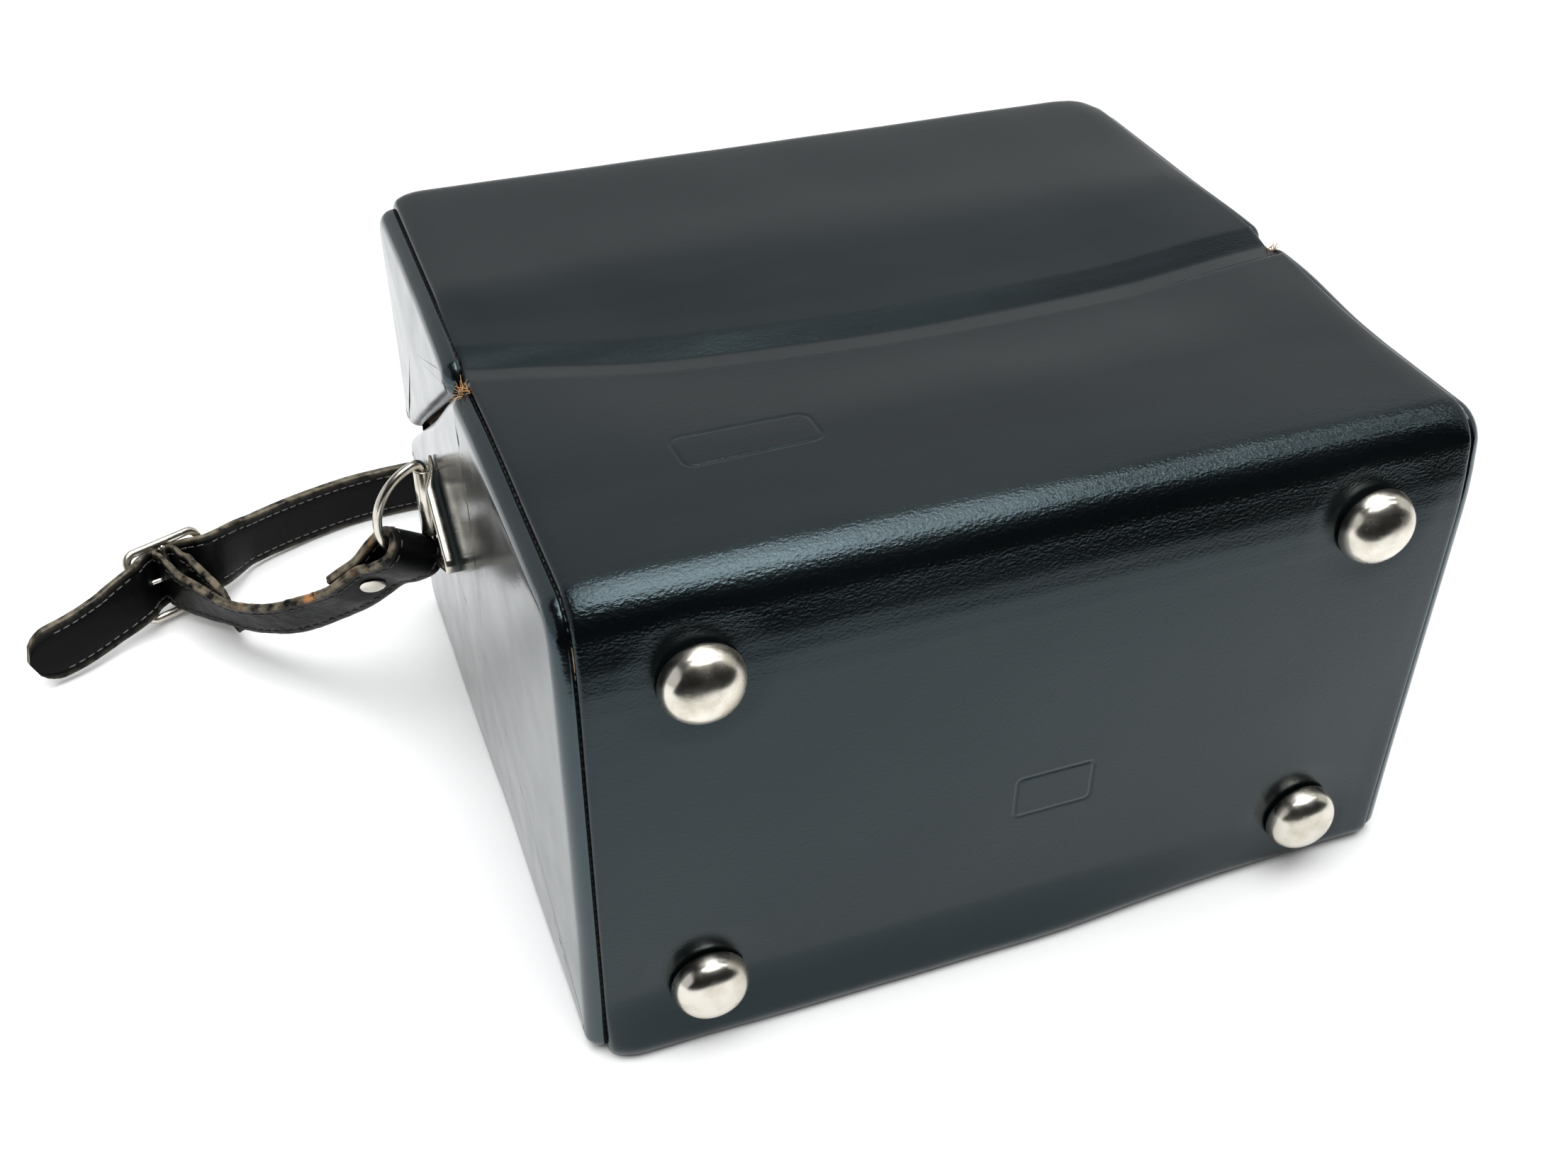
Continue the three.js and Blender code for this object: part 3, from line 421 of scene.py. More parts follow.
def arc(centre, radius, start, end, steps):
    """Points of an arc in a plane, with its angles in degrees."""
    points = []
    for step in range(steps + 1):
        turn = math.radians(start + (end - start) * step / steps)
        points.append((centre[0] + radius * math.cos(turn), centre[1] + radius * math.sin(turn)))
    return points


def axis_place(origin, axis):
    return Matrix.Translation(origin) @ axis.to_track_quat("Z", "Y").to_matrix().to_4x4()


def ease(value, low, high):
    part = min(1.0, max(0.0, (value - low) / (high - low)))
    return part * part * (3 - 2 * part)


def rounded_line(corners, spacing, closed=False):
    """Points along a line of (y, z, radius) corners, with true arcs and even steps between them."""
    points = [Vector((corner[0], corner[1])) for corner in corners]
    count = len(corners)
    line = [] if closed else [points[0]]
    for index in range(count) if closed else range(1, count - 1):
        here = points[index]
        before = (here - points[index - 1]).normalized()
        after = (points[(index + 1) % count] - here).normalized()
        turn = math.atan2(before.x * after.y - before.y * after.x, before.dot(after))
        radius = corners[index][2]
        start = here - before * (radius * math.tan(abs(turn) / 2))
        inward = Vector((-before.y, before.x)) * math.copysign(1, turn)
        centre = start + inward * radius
        steps = max(3, math.ceil(abs(math.degrees(turn)) / 7))
        for step in range(steps + 1):
            line.append(centre + (-inward * radius) @ Matrix.Rotation(-turn * step / steps, 2))
    line.append(line[0].copy() if closed else points[-1])
    even = [line[0]]
    for here, there in zip(line, line[1:]):
        steps = max(1, math.ceil((there - here).length / spacing))
        even += [here.lerp(there, step / steps) for step in range(1, steps + 1)]
    return even[:-1] if closed else even


def outward_normals(line, closed=False):
    """The unit normal at each point of a line: the side that faces away from the case's inside."""
    tangents = [step_across(line, index, closed) for index in range(len(line))]
    return [Vector((tangent.y, -tangent.x)).normalized() for tangent in tangents]


# ---------------------------------------------------------------- leather skins

EDGE_ROLL = 1.1 * MM
MARK_LINE = 0.65 * MM
MARK_DEPTH = 0.2 * MM
MARK_STEP = 0.35 * MM
EMBLEM = {"x": -56 * MM, "y": -51 * MM, "width": 34 * MM, "height": 12 * MM, "turn": math.radians(2)}
STAMP = {"x": 6.5 * MM, "z": 52.5 * MM, "width": 21 * MM, "height": 12.5 * MM}

HINGE_FLARE_LEFT = 0.4 * MM
HINGE_FLARE_RIGHT = 3 * MM
FLARE_REACH = 45 * MM
BACK_FULLNESS = 1.5 * MM
TOP_EDGE_FULLNESS = 1.0 * MM
BASE_FULLNESS = 0.25 * MM
BASE_EDGE_FULLNESS = 4.4 * MM
CREASE_FILL = 1.9 * MM
CREASE_HALF = 12 * MM
CREASE_FADE = 55 * MM
CREASE_END_FROM = 60 * MM
CREASE_END_TO = 100 * MM
DROOP_RIGHT = (16 * MM, 18 * MM)
DROOP_LEFT = (5 * MM, 11 * MM)
SEAM_PULL = 9 * MM
FOOT_NAMES = [f"foot_{row}_{side}" for row in ("front", "back") for side in ("left", "right")]
FOOT_PLACES = [(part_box(name)[0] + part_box(name)[1]) / 2 for name in FOOT_NAMES]
FOOT_DIP = 0.1 * MM
FOOT_DIP_FROM = 9.5 * MM
FOOT_DIP_TO = 19 * MM

LID_CORNER = (TOP_Y, LID_Z, 9 * MM)
LID_SHOULDER = (37 * MM, LID_Z - 0.8 * MM, 200 * MM)
BACK_SHOULDER = (-52 * MM, BACK_Z, 70 * MM)
BASE_TOP = (BASE_Y + 3.2 * MM, BACK_Z, 10.5 * MM)
BASE_SHOULDER = (BASE_Y, BACK_Z - 19 * MM, 105 * MM)
FRONT_BOTTOM = (BASE_Y, 0, 5 * MM)
FRONT_TOP = (TOP_Y, 0, 8 * MM)
PARTING_TOP = (TOP_Y, PARTING_Z, 5 * MM)
HINGE_END = (HINGE.y, HINGE.z, 5 * MM)
CREASE = [
    (1.5 * MM, HINGE.z + 1.1 * MM, 8 * MM),
    (-7 * MM, HINGE.z - 1.2 * MM, 4 * MM),
    (-14.5 * MM, HINGE.z - 0.5 * MM, 0.9 * MM),
    (-15.8 * MM, HINGE.z + 0.9 * MM, 1.0 * MM),
]


def waviness(point, seed, size=0.08, height=0.45 * MM):
    """Slow unevenness of leather over board, in metres."""
    place = Vector((point.x, point.y, point.z)) / size + Vector((seed, seed * 2.3, 0))
    return height * (noise.noise(place) + 0.3 * noise.noise(place * 2.9))


def hinge_flare(x, y, z):
    """How far an end of the case stands out beside the hinge, where no board holds it in."""
    most = HINGE_FLARE_RIGHT if x > 0 else HINGE_FLARE_LEFT
    return most * (1 - ease(math.hypot(y - HINGE.y, z - HINGE.z), 0, FLARE_REACH))


def crease_drift(x, y):
    """The crease isn't straight: it bows towards the base in its middle."""
    middle, depth, bend, right_share = 8 * MM, 2.5 * MM, 0.001, 0.6
    from_middle = x - middle
    bow = (from_middle / MM) ** 2 * bend * MM * (1 if from_middle < 0 else right_share) - depth
    return bow * (1 - ease(abs(y - HINGE.y), 14 * MM, 50 * MM))


def corner_inset(y, z, corner, radius):
    """How far inside its corner a rounder one of this radius lies."""
    towards = math.copysign(1, corner[0])
    out = max(0.0, (y - (corner[0] - towards * radius)) * towards)
    up = max(0.0, z - (corner[1] - radius))
    return max(0.0, math.hypot(out, up) - radius) if out and up else 0.0


def end_droop(x, y, z):
    """The lid's corners are rounded off towards the case's ends, and most at the right end."""
    reach, radius = DROOP_RIGHT if x > 0 else DROOP_LEFT
    part = min(max(0.0, (abs(x) - (HALF_WIDTH - reach)) / reach), 1.0)
    return corner_inset(y, z, LID_CORNER, radius) * (1 - math.sqrt(1 - part * part))


def pressed_frame(across, along, width, height, corner, turn=0.0):
    """How deep a plain rounded frame, pressed into the leather, is at a place from its centre."""
    a = across * math.cos(turn) + along * math.sin(turn)
    b = along * math.cos(turn) - across * math.sin(turn)
    out_a = max(abs(a) - (width / 2 - corner), 0)
    out_b = max(abs(b) - (height / 2 - corner), 0)
    inner = min(max(abs(a) - (width / 2 - corner), abs(b) - (height / 2 - corner)), 0)
    distance = abs(math.hypot(out_a, out_b) + inner - corner)
    return MARK_DEPTH * (1 - ease(distance, MARK_LINE * 0.25, MARK_LINE))


def mark_depth(x, place, normal):
    """The depth of the plain frame on the back, or of the one on the base."""
    if normal.y > 0.7:
        across, along = x - EMBLEM["x"], place.x - EMBLEM["y"]
        return pressed_frame(across, along, EMBLEM["width"], EMBLEM["height"], 3 * MM, EMBLEM["turn"])
    if normal.x < -0.7:
        across, along = x - STAMP["x"], place.y - STAMP["z"]
        return pressed_frame(across, along, STAMP["width"], STAMP["height"], 1.5 * MM)
    return 0.0


def crease_fill(x, y, normal):
    """Towards the case's ends the crease is shallower."""
    near_crease = 1 - ease(abs(y - HINGE.y), CREASE_HALF, CREASE_FADE)
    return CREASE_FILL * max(0.0, normal.y) * near_crease * ease(abs(x), CREASE_END_FROM, CREASE_END_TO)


def fullness(x, place, normal):
    """How far the leather stands off its board: full in the middle, held down at its ends and feet."""
    y, z = place
    from_end = math.sqrt(1 - (1 - min(max(0.0, HALF_WIDTH - abs(x)) / SEAM_PULL, 1)) ** 2)
    back = BACK_FULLNESS * max(0.0, normal.y) * ease(abs(y - HINGE.y), CREASE_HALF, 45 * MM)
    top_edge = TOP_EDGE_FULLNESS * max(0.0, normal.y) * ease(y, 55 * MM, TOP_Y - 6 * MM)
    base = BASE_FULLNESS * max(0.0, -normal.x)
    right_loss, right_from, low_reach = 0.85, 70 * MM, 20 * MM
    left_share = 1 - right_loss * ease(x, 0, right_from)
    low_edge = BASE_EDGE_FULLNESS * left_share * max(0.0, -normal.x) * (1 - ease(z, 0, low_reach))
    lift = (back + top_edge + base) * from_end
    if normal.x < -0.5:
        for foot in FOOT_PLACES:
            away = math.hypot(x - foot.x, z - foot.z)
            held = 1 - ease(away, FOOT_DIP_FROM, FOOT_DIP_TO)
            lift = lift * (1 - held) - FOOT_DIP * held
    return lift + low_edge * from_end + crease_fill(x, y, normal)


def refined(values, ranges, spacing):
    """The same sorted values with even extra ones inside each range."""
    result = set(values)
    for low, high in ranges:
        steps = math.ceil((high - low) / spacing)
        result |= {low + (high - low) * step / steps for step in range(steps + 1)}
    tidy = []
    for value in sorted(result):
        if not tidy or value - tidy[-1] > spacing * 0.3:
            tidy.append(value)
    return tidy


def column_places(marked):
    """X places of a skin's columns: close together at its ends, its feet and its marks."""
    count, end_step, foot_step = 44, 1 * MM, 1.5 * MM
    flat = HALF_WIDTH - EDGE_ROLL
    columns = [-flat + 2 * flat * index / count for index in range(count + 1)]
    ends = [(-flat, -flat + SEAM_PULL), (flat - 2 * SEAM_PULL, flat)]
    columns = refined(columns, ends, end_step)
    if marked:
        feet = [(foot.x - FOOT_DIP_TO, foot.x + FOOT_DIP_TO) for foot in FOOT_PLACES[:2]]
        columns = refined(columns, feet, foot_step)
        margin = 1.5 * MM
        marks = [(mark["x"], mark["width"] / 2 + margin) for mark in (EMBLEM, STAMP)]
        columns = refined(columns, [(x - half, x + half) for x, half in marks], MARK_STEP)
    roll = [flat + EDGE_ROLL * math.sin(math.radians(angle)) for angle in (25, 50, 70, 90)]
    return [-x for x in reversed(roll)] + columns + roll


def refine_line(line, centre_of, half, spacing):
    """Adds close points to a line where centre_of(point) is within half of zero."""
    result = [line[0]]
    for here, there in zip(line, line[1:]):
        near = min(abs(centre_of(here)), abs(centre_of(there))) < half
        steps = max(1, math.ceil((there - here).length / spacing)) if near else 1
        result += [here.lerp(there, step / steps) for step in range(1, steps + 1)]
    return result


def skin(name, line, seed, columns):
    """Closed leather over an outline: an outer and an inner face, with its ends rolled over."""
    normals = outward_normals(line)
    verts = []
    for layer in (0, LEATHER):
        for place, normal in zip(line, normals):
            for x in columns:
                over = max(0.0, abs(x) - (HALF_WIDTH - EDGE_ROLL))
                roll = EDGE_ROLL - math.sqrt(max(0.0, EDGE_ROLL ** 2 - over ** 2))
                quiet = ease(HALF_WIDTH - abs(x), 0, 8 * MM)
                lift = waviness(Vector((x, *place)), seed) * quiet + fullness(x, place, normal)
                lift -= mark_depth(x, place, normal) + end_droop(x, *place) + layer
                lift -= roll if layer == 0 else 0.0
                y, z = place + normal * lift
                z = max(z, layer)
                wide = 1 + hinge_flare(x, *place) / HALF_WIDTH
                verts.append(Vector((x * wide, y + crease_drift(x, y) * (normal.y > 0), z)))
    rows, count = len(line), len(columns)
    size = rows * count
    faces = grid_faces(rows, count) + grid_faces(rows, count, size)
    border = list(range(count)) + [r * count + count - 1 for r in range(1, rows)]
    border += [(rows - 1) * count + c for c in range(count - 2, -1, -1)]
    border += [r * count for r in range(rows - 2, 0, -1)]
    for here, there in zip(border, border[1:] + border[:1]):
        faces.append([here, there, there + size, here + size])
    piece = make_piece(name, verts, faces, CASE_LEATHER)
    return piece


def make_skins():
    corners = [
        (TOP_Y, PARTING_Z + FIT_GAP), LID_CORNER, LID_SHOULDER, *CREASE, BACK_SHOULDER, BASE_TOP,
        BASE_SHOULDER, FRONT_BOTTOM, (SEAM_Y - FIT_GAP, 0),
    ]
    line = rounded_line(corners, 5 * MM)

    def from_emblem(point):
        return point.x - EMBLEM["y"] if point.y > BACK_Z / 2 else 1

    def from_stamp(point):
        return point.y - STAMP["z"] if point.x < BASE_Y + 1 * MM else 1

    def from_crease(point):
        return point.x - HINGE.y if point.y > BACK_Z / 2 else 1

    line = refine_line(line, from_emblem, EMBLEM["height"] / 2 + 2 * MM, MARK_STEP)
    line = refine_line(line, from_stamp, STAMP["height"] / 2 + 1.5 * MM, MARK_STEP)
    line = refine_line(line, from_crease, 30 * MM, 1.5 * MM)
    for foot in (FOOT_PLACES[0], FOOT_PLACES[-1]):
        line = refine_line(
            line, lambda point: point.y - foot.z if point.x < BASE_Y + 6 * MM else 1, FOOT_DIP_TO, 1.5 * MM,
        )
    back = skin("back_and_lid_leather", line, 3.1, column_places(True))
    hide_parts("base_and_back_leather", "lid_leather")
    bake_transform(back)

    front_line = rounded_line([(SEAM_Y, 0), FRONT_TOP, (TOP_Y, PARTING_Z - FIT_GAP)], 6 * MM)
    front = skin("front_and_top_leather", front_line, 8.4, column_places(False))
    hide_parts("front_leather")
    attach(front, "case")


# ---------------------------------------------------------------- padded end covers

COVER_INSET = 0.9 * MM
COVER_ROUND = 4 * MM
COVER_PADDING = 0.5 * MM


def end_cover(name, node, corners, side, body, seed):
    """A padded leather end: rounded over at its outline, and slightly full in its middle."""
    line = rounded_line(corners, 2.5 * MM, closed=True)
    normals = outward_normals(line, closed=True)
    centre = sum(line, Vector((0, 0))) / len(line)
    depth = END_FACE_X - END_COVER_FOOT
    rings = [(COVER_INSET, 0.0, 0.0)]
    for angle in (12, 25, 38, 52, 66, 79, 90):
        turn = math.radians(angle)
        rings.append((COVER_INSET + COVER_ROUND * (1 - math.cos(turn)), depth * math.sin(turn), 0.0))
    edge = COVER_INSET + COVER_ROUND + 3 * MM
    inner_rings = 22
    rings += [(edge, depth, part / inner_rings) for part in range(inner_rings)]
    verts = []
    for inset, height, towards in rings:
        for place, normal in zip(line, normals):
            drop = end_droop(side * HALF_WIDTH, *place) - crease_fill(HALF_WIDTH, place.x, normal)
            flat = (place - normal * (inset + drop)).lerp(centre, towards)
            x = END_COVER_FOOT + height + hinge_flare(side, *flat)
            padding = COVER_PADDING * math.sin(math.pi / 2 * towards)
            x += padding + waviness(Vector((0, *flat)), seed, 0.05, 0.35 * MM) * height / depth
            verts.append(Vector((side * x, flat.x, flat.y)))
    count = len(line)
    top = len(verts)
    verts.append(Vector((side * (END_FACE_X + COVER_PADDING), *centre)))
    faces = grid_faces(len(rings), count, wrap_columns=True)
    last = (len(rings) - 1) * count
    faces += [[last + index, last + (index + 1) % count, top] for index in range(count)]
    faces.append(list(range(count)))
    declare(make_piece(name, verts, faces, END_LEATHER), "case_leather", body, node)


def seam_cord(name, corners, side, body):
    """The lumpy sewn edge that lies in the groove between the skins and an end cover."""
    line = rounded_line(corners, 0.7 * MM, closed=True)
    normals = outward_normals(line, closed=True)
    inset = 1.9 * MM
    radius = 0.8 * MM
    lump = 2.3 * MM
    centres, travelled = [], [0.0]
    for place, normal in zip(line, normals):
        drop = end_droop(side * HALF_WIDTH, *place) - crease_fill(HALF_WIDTH, place.x, normal)
        flat = place - normal * (inset + drop)
        x = END_COVER_FOOT - 0.1 * MM + hinge_flare(side, *place)
        centres.append(Vector((side * x, flat.x, flat.y)))
        if len(centres) > 1:
            travelled.append(travelled[-1] + (centres[-1] - centres[-2]).length)
    frames = carried_frames(centres, Vector((1, 0, 0)), closed=True)

    def section(index):
        swell = 1 + 0.28 * math.cos(2 * math.pi * travelled[index] / lump)
        return circle(radius * swell, 10)

    declare(swept(name, centres, frames, section, STRAP_LEATHER, closed=True), "case_leather", body)


def make_end_covers():
    body_corners = [
        FRONT_BOTTOM, FRONT_TOP, PARTING_TOP, HINGE_END, BACK_SHOULDER, BASE_TOP, BASE_SHOULDER,
    ]
    lid_corners = [HINGE_END, PARTING_TOP, LID_CORNER, LID_SHOULDER]
    parts = [("body", body_corners, "case", 5.2), ("lid", lid_corners, "lid", 9.7)]
    for side, where in SIDES:
        for part, corners, body, seed in parts:
            cover_node = f"{part}_end_cover_{where}"
            end_cover(f"{part}_end_leather_{where}", cover_node, corners, side, body, seed + side)
        for part, corners, body, _ in parts:
            seam_cord(f"{part}_seam_{where}", corners, side, body)


# ---------------------------------------------------------------- feet and rivets

AXIS_HOLE = 0.02 * MM
RIVET_SHANK = 1.2 * MM

def make_feet():
    dome_radius = 9.8 * MM
    dome_height = 7.3 * MM
    neck = 0.4 * MM
    squareness = 0.82
    profile = [(dome_radius * 0.52, 0.0), (dome_radius * 0.52, neck), (dome_radius * 0.9, neck)]
    profile.append((dome_radius * 0.985, neck + 0.12 * MM))
    steps = 26
    for step in range(steps + 1):
        turn = math.pi / 2 * step / steps
        radius = max(dome_radius * max(math.cos(turn), 0) ** squareness, AXIS_HOLE)
        profile.append((radius, neck + 0.45 * MM + dome_height * math.sin(turn) ** squareness))
    for node, centre in zip(FOOT_NAMES, FOOT_PLACES):
        place = axis_place(Vector((centre.x, BASE_Y, centre.z)), Vector((0, -1, 0)))
        declare(lathe(f"domed_{node}", profile, place, 72), "nickel", "case", node)


def domed_head(radius, height):
    return [(radius * math.cos(t), height * math.sin(t)) for t in (math.pi / 2 * i / 8 for i in range(8))]


def make_plate_rivets():
    head_height = 1.4 * MM
    for side, where in SIDES:
        for level in ("lower", "upper"):
            node = f"plate_rivet_{where}_{level}"
            low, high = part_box(node)
            centre = (low + high) / 2
            foot = high.x if side < 0 else low.x
            outer = low.x if side < 0 else high.x
            place = axis_place(Vector((outer - side * head_height, centre.y, centre.z)), Vector((side, 0, 0)))
            shank = abs(outer - foot) - head_height
            profile = [(RIVET_SHANK, -shank), (RIVET_SHANK, 0.0), *domed_head(2.6 * MM, head_height)]
            profile.append((AXIS_HOLE, head_height))
            declare(lathe(f"domed_{node}", profile, place, 32), "nickel", "case", node)


# ---------------------------------------------------------------- straps

RING_RADIUS = 15.8 * MM
RING_WIRE = 1.35 * MM
RING_BEND = 2.5 * MM
RING_SWING = math.radians(18)
FOLD_ANGLE = math.radians(55)
FOLD_RIVET = 17 * MM
FOLD_END = 27 * MM
LAYER_OFFSET = (STRAP_THICK + FIT_GAP) / 2


def ring_point(side, out, up):
    bar = JOINT_PLACE["d_ring_left_swing" if side < 0 else "d_ring_right_swing"]
    swing = RING_SWING if side < 0 else -RING_SWING
    return bar + Vector((side * out * math.cos(swing), -out * math.sin(swing), up))


class FoldFrame:
    """Where a strap's doubled end hangs on a D-ring."""

    def __init__(self, side, towards):
        wire = ring_point(side, RING_RADIUS * math.cos(FOLD_ANGLE), -RING_RADIUS * math.sin(FOLD_ANGLE))
        inward = (ring_point(side, 0, 0) - wire).normalized()
        bar = (ring_point(side, 1, 0) - ring_point(side, 0, 0)).normalized()
        self.width = (bar - inward * bar.dot(inward)).normalized()
        out = towards - wire
        self.out = (out - self.width * out.dot(self.width)).normalized()
        self.front = self.width.cross(self.out)
        self.bow = RING_RADIUS - math.sqrt(RING_RADIUS ** 2 - (STRAP_WIDTH / 2) ** 2)
        self.origin = wire + inward * self.bow / 2
        self.wire = wire

    def at(self, along, across):
        return self.origin + self.out * along + self.front * across

    def stations(self):
        """The doubled end, from the cut end of the back layer to where the strap goes on alone."""
        bend = RING_WIRE + self.bow / 2 + FIT_GAP + STRAP_THICK / 2
        flat_from, flat_to = FOLD_RIVET - 4 * MM, FOLD_RIVET + 3 * MM
        places = [
            (FOLD_END - 1 * MM, -LAYER_OFFSET),
            (flat_to, -LAYER_OFFSET),
            (flat_from, -LAYER_OFFSET),
            (flat_from / 2, -bend * 0.8),
        ]
        places += [(-x, y) for x, y in arc((0, 0), bend, -90, 90, 6)]
        places += [(flat_from / 2, bend * 0.8), (flat_from, LAYER_OFFSET), (flat_to, LAYER_OFFSET)]
        places.append((FOLD_END, LAYER_OFFSET))
        return [(self.at(along, across), self.width, 1.0) for along, across in places]


def mm(*numbers):
    return Vector(numbers) * MM


def smooth_route(stations, step):
    """Centres, widths and thicknesses along a smooth curve through the stations."""
    centres = [station[0] for station in stations]
    padded = [centres[0] * 2 - centres[1], *centres, centres[-1] * 2 - centres[-2]]
    route = []
    for index in range(len(centres) - 1):
        p0, p1, p2, p3 = padded[index:index + 4]
        t0, t1, t2 = (math.sqrt((b - a).length) for a, b in ((p0, p1), (p1, p2), (p2, p3)))
        leave = ((p1 - p0) / t0 - (p2 - p0) / (t0 + t1) + (p2 - p1) / t1) * t1
        arrive = ((p2 - p1) / t1 - (p3 - p1) / (t1 + t2) + (p3 - p2) / t2) * t1
        count = max(2, math.ceil((p2 - p1).length / step))
        last = index == len(centres) - 2
        for number in range(count + 1 if last else count):
            t = number / count
            centre = p1 * (2 * t ** 3 - 3 * t ** 2 + 1) + leave * (t ** 3 - 2 * t ** 2 + t)
            centre += p2 * (3 * t ** 2 - 2 * t ** 3) + arrive * (t ** 3 - t ** 2)
            width = stations[index][1].lerp(stations[index + 1][1], t)
            thickness = stations[index][2] + (stations[index + 1][2] - stations[index][2]) * t
            route.append((centre, width, thickness))
    return route


BUCKLE_LENGTH = 27 * MM
BUCKLE_HEIGHT = 25 * MM
BUCKLE_WIRE = 1.1 * MM
BUCKLE_CENTRE = JOINT_PLACE["prong_swing"]
BUCKLE_UP = Vector((-0.13, 0.35, 0.926)).normalized()
BUCKLE_ALONG = Vector((0.899, 0.438, 0))
BUCKLE_ALONG = (BUCKLE_ALONG - BUCKLE_UP * BUCKLE_ALONG.dot(BUCKLE_UP)).normalized()
BUCKLE_FRONT = BUCKLE_ALONG.cross(BUCKLE_UP)


def at_buckle(along, front, up=0.0):
    return BUCKLE_CENTRE + BUCKLE_ALONG * along + BUCKLE_FRONT * front + BUCKLE_UP * up


SKIVED = 0.5
BAR_BEND = BUCKLE_WIRE * math.sqrt(2) + FIT_GAP * 2 + STRAP_THICK * SKIVED / 2


def short_strap_stations(fold):
    stations = fold.stations()
    stations += [
        (mm(-149.7, 65.9, 29.1), Vector((-0.67, -0.27, 0.69)), 1.0),
        (mm(-161.9, 74.8, 21.1), Vector((-0.6, -0.21, 0.77)), 1.0),
        (mm(-173.3, 86.3, 16.2), Vector((-0.5, -0.18, 0.85)), 1.0),
        (mm(-183.2, 100.2, 14), Vector((-0.33, -0.09, 0.94)), 1.0),
        (mm(-190.4, 110.4, 13), Vector((-0.22, 0.05, 0.97)), 0.9),
        (at_buckle(-BAR_BEND, 4 * MM, -1 * MM), Vector((-0.16, 0.25, 0.95)), 0.7),
        (at_buckle(-BAR_BEND, 2 * MM), BUCKLE_UP, SKIVED),
    ]
    for along, front in arc((0, 0), BAR_BEND, 180, 360, 6):
        stations.append((at_buckle(along, front), BUCKLE_UP, SKIVED))
    stations += [
        (at_buckle(BAR_BEND, 2 * MM), BUCKLE_UP, SKIVED),
        (at_buckle(BAR_BEND, 4 * MM, -1 * MM), Vector((-0.16, 0.25, 0.95)), 0.7),
        (mm(-185.6, 114.6, 13), Vector((-0.2, 0.1, 0.97)), 0.9),
        (mm(-180.4, 104.6, 12.6), Vector((-0.2, 0, 0.98)), 0.9),
        (mm(-177, 95.5, 12.4), Vector((-0.2, 0, 0.98)), 0.9),
    ]
    return stations


def long_strap_stations(fold):
    behind = BAR_BEND + STRAP_THICK * SKIVED / 2 + FIT_GAP * 2 + STRAP_THICK / 2
    over = BUCKLE_WIRE + FIT_GAP * 6 + STRAP_THICK / 2
    side = BUCKLE_LENGTH / 2 - BUCKLE_WIRE
    hug = math.radians(35)
    upright = Vector((0, 0, 1))
    low = STRAP_WIDTH / 2 / MM + 0.6
    stations = fold.stations()
    stations += [
        (mm(142.4, 74.5, 23), Vector((0.72, 0.2, 0.66)), 1.0),
        (mm(143.4, 89, 15.5), Vector((0.5, 0.15, 0.85)), 1.0),
        (mm(139, 106, 11.5), Vector((0.2, 0.1, 0.97)), 1.0),
    ]
    behind_case = [
        (128, 123, 10.4), (109, 138, low), (82, 147, low), (40, 151.5, low), (-20, 152.5, low),
        (-75, 151.5, low), (-106, 150.8, low), (-121, 150.2, low), (-134, 148.4, low),
        (-153.5, 141.6, low + 0.6), (-168, 134.2, low + 1.4),
    ]
    stations += [(mm(*place), upright, 1.0) for place in behind_case]
    through = [
        (side, over), (side * 0.62, -1.2 * MM), (behind * math.sin(hug), -behind * math.cos(hug)),
        (0, -behind), (-behind * math.sin(hug), -behind * math.cos(hug)), (-side * 0.62, -1.2 * MM),
        (-side, over + FIT_GAP),
    ]
    stations += [(at_buckle(along, front), BUCKLE_UP, 1.0) for along, front in through]
    stations += [
        (mm(-213.5, 105, 12.4), Vector((-0.16, 0.12, 0.98)), 1.0),
        (mm(-225, 97.6, 11.4), Vector((-0.18, 0.1, 0.98)), 1.0),
        (mm(-238, 92.5, 10.6), Vector((-0.18, 0.1, 0.98)), 1.0),
    ]
    return stations


def strap_section(width, thick):
    """Two bonded layers: rounded rims with a groove between them, and a dip along each stitch line."""
    half, deep = width / 2, thick / 2
    dip = 0.16 * MM * thick / STRAP_THICK
    quarter = [
        (half * 0.35, deep),
        (half - 3.6 * MM, deep),
        (half - 3.1 * MM, deep - dip * 0.6),
        (half - 2.8 * MM, deep - dip),
        (half - 2.5 * MM, deep - dip * 0.6),
        (half - 2.0 * MM, deep),
        (half - 0.8 * MM, deep * 0.985),
        (half - 0.3 * MM, deep * 0.86),
        (half - 0.04 * MM, deep * 0.6),
        (half, deep * 0.4),
        (half - 0.06 * MM, deep * 0.16),
        (half - 0.3 * MM, 0.0),
    ]
    right = quarter + [(u, -v) for u, v in reversed(quarter[:-1])]
    return right + [(-u, v) for u, v in reversed(right)]


def rim_share(width):
    """How much each point of a strap's section lies on its worn rim, from 0 to 1."""
    half = width / 2
    return [ease(abs(u), half - 1.1 * MM, half - 0.3 * MM) for u, _ in strap_section(width, STRAP_THICK)]


STITCH_PITCH = 3.1 * MM
STITCH_LENGTH = 2.3 * MM
STITCH_RADIUS = 0.24 * MM


def stitch(centre, along, across, up):
    """One stitch: a thread that rises out of its hole, lies over, and goes down again."""
    verts = []
    sides = 6
    half = STITCH_LENGTH / 2
    sizes = ((-1, -0.3, 0.6), (-0.75, 0.2, 1), (0, 0.45, 1), (0.75, 0.2, 1), (1, -0.3, 0.6))
    for part, rise, size in sizes:
        middle = centre + along * half * part + up * STITCH_RADIUS * rise
        for u, v in circle(STITCH_RADIUS * size, sides):
            verts.append(middle + across * u + up * v)
    last = len(verts) - sides
    faces = grid_faces(len(sizes), sides, wrap_columns=True)
    faces += [list(range(sides))[::-1], list(range(last, last + sides))]
    return verts, faces


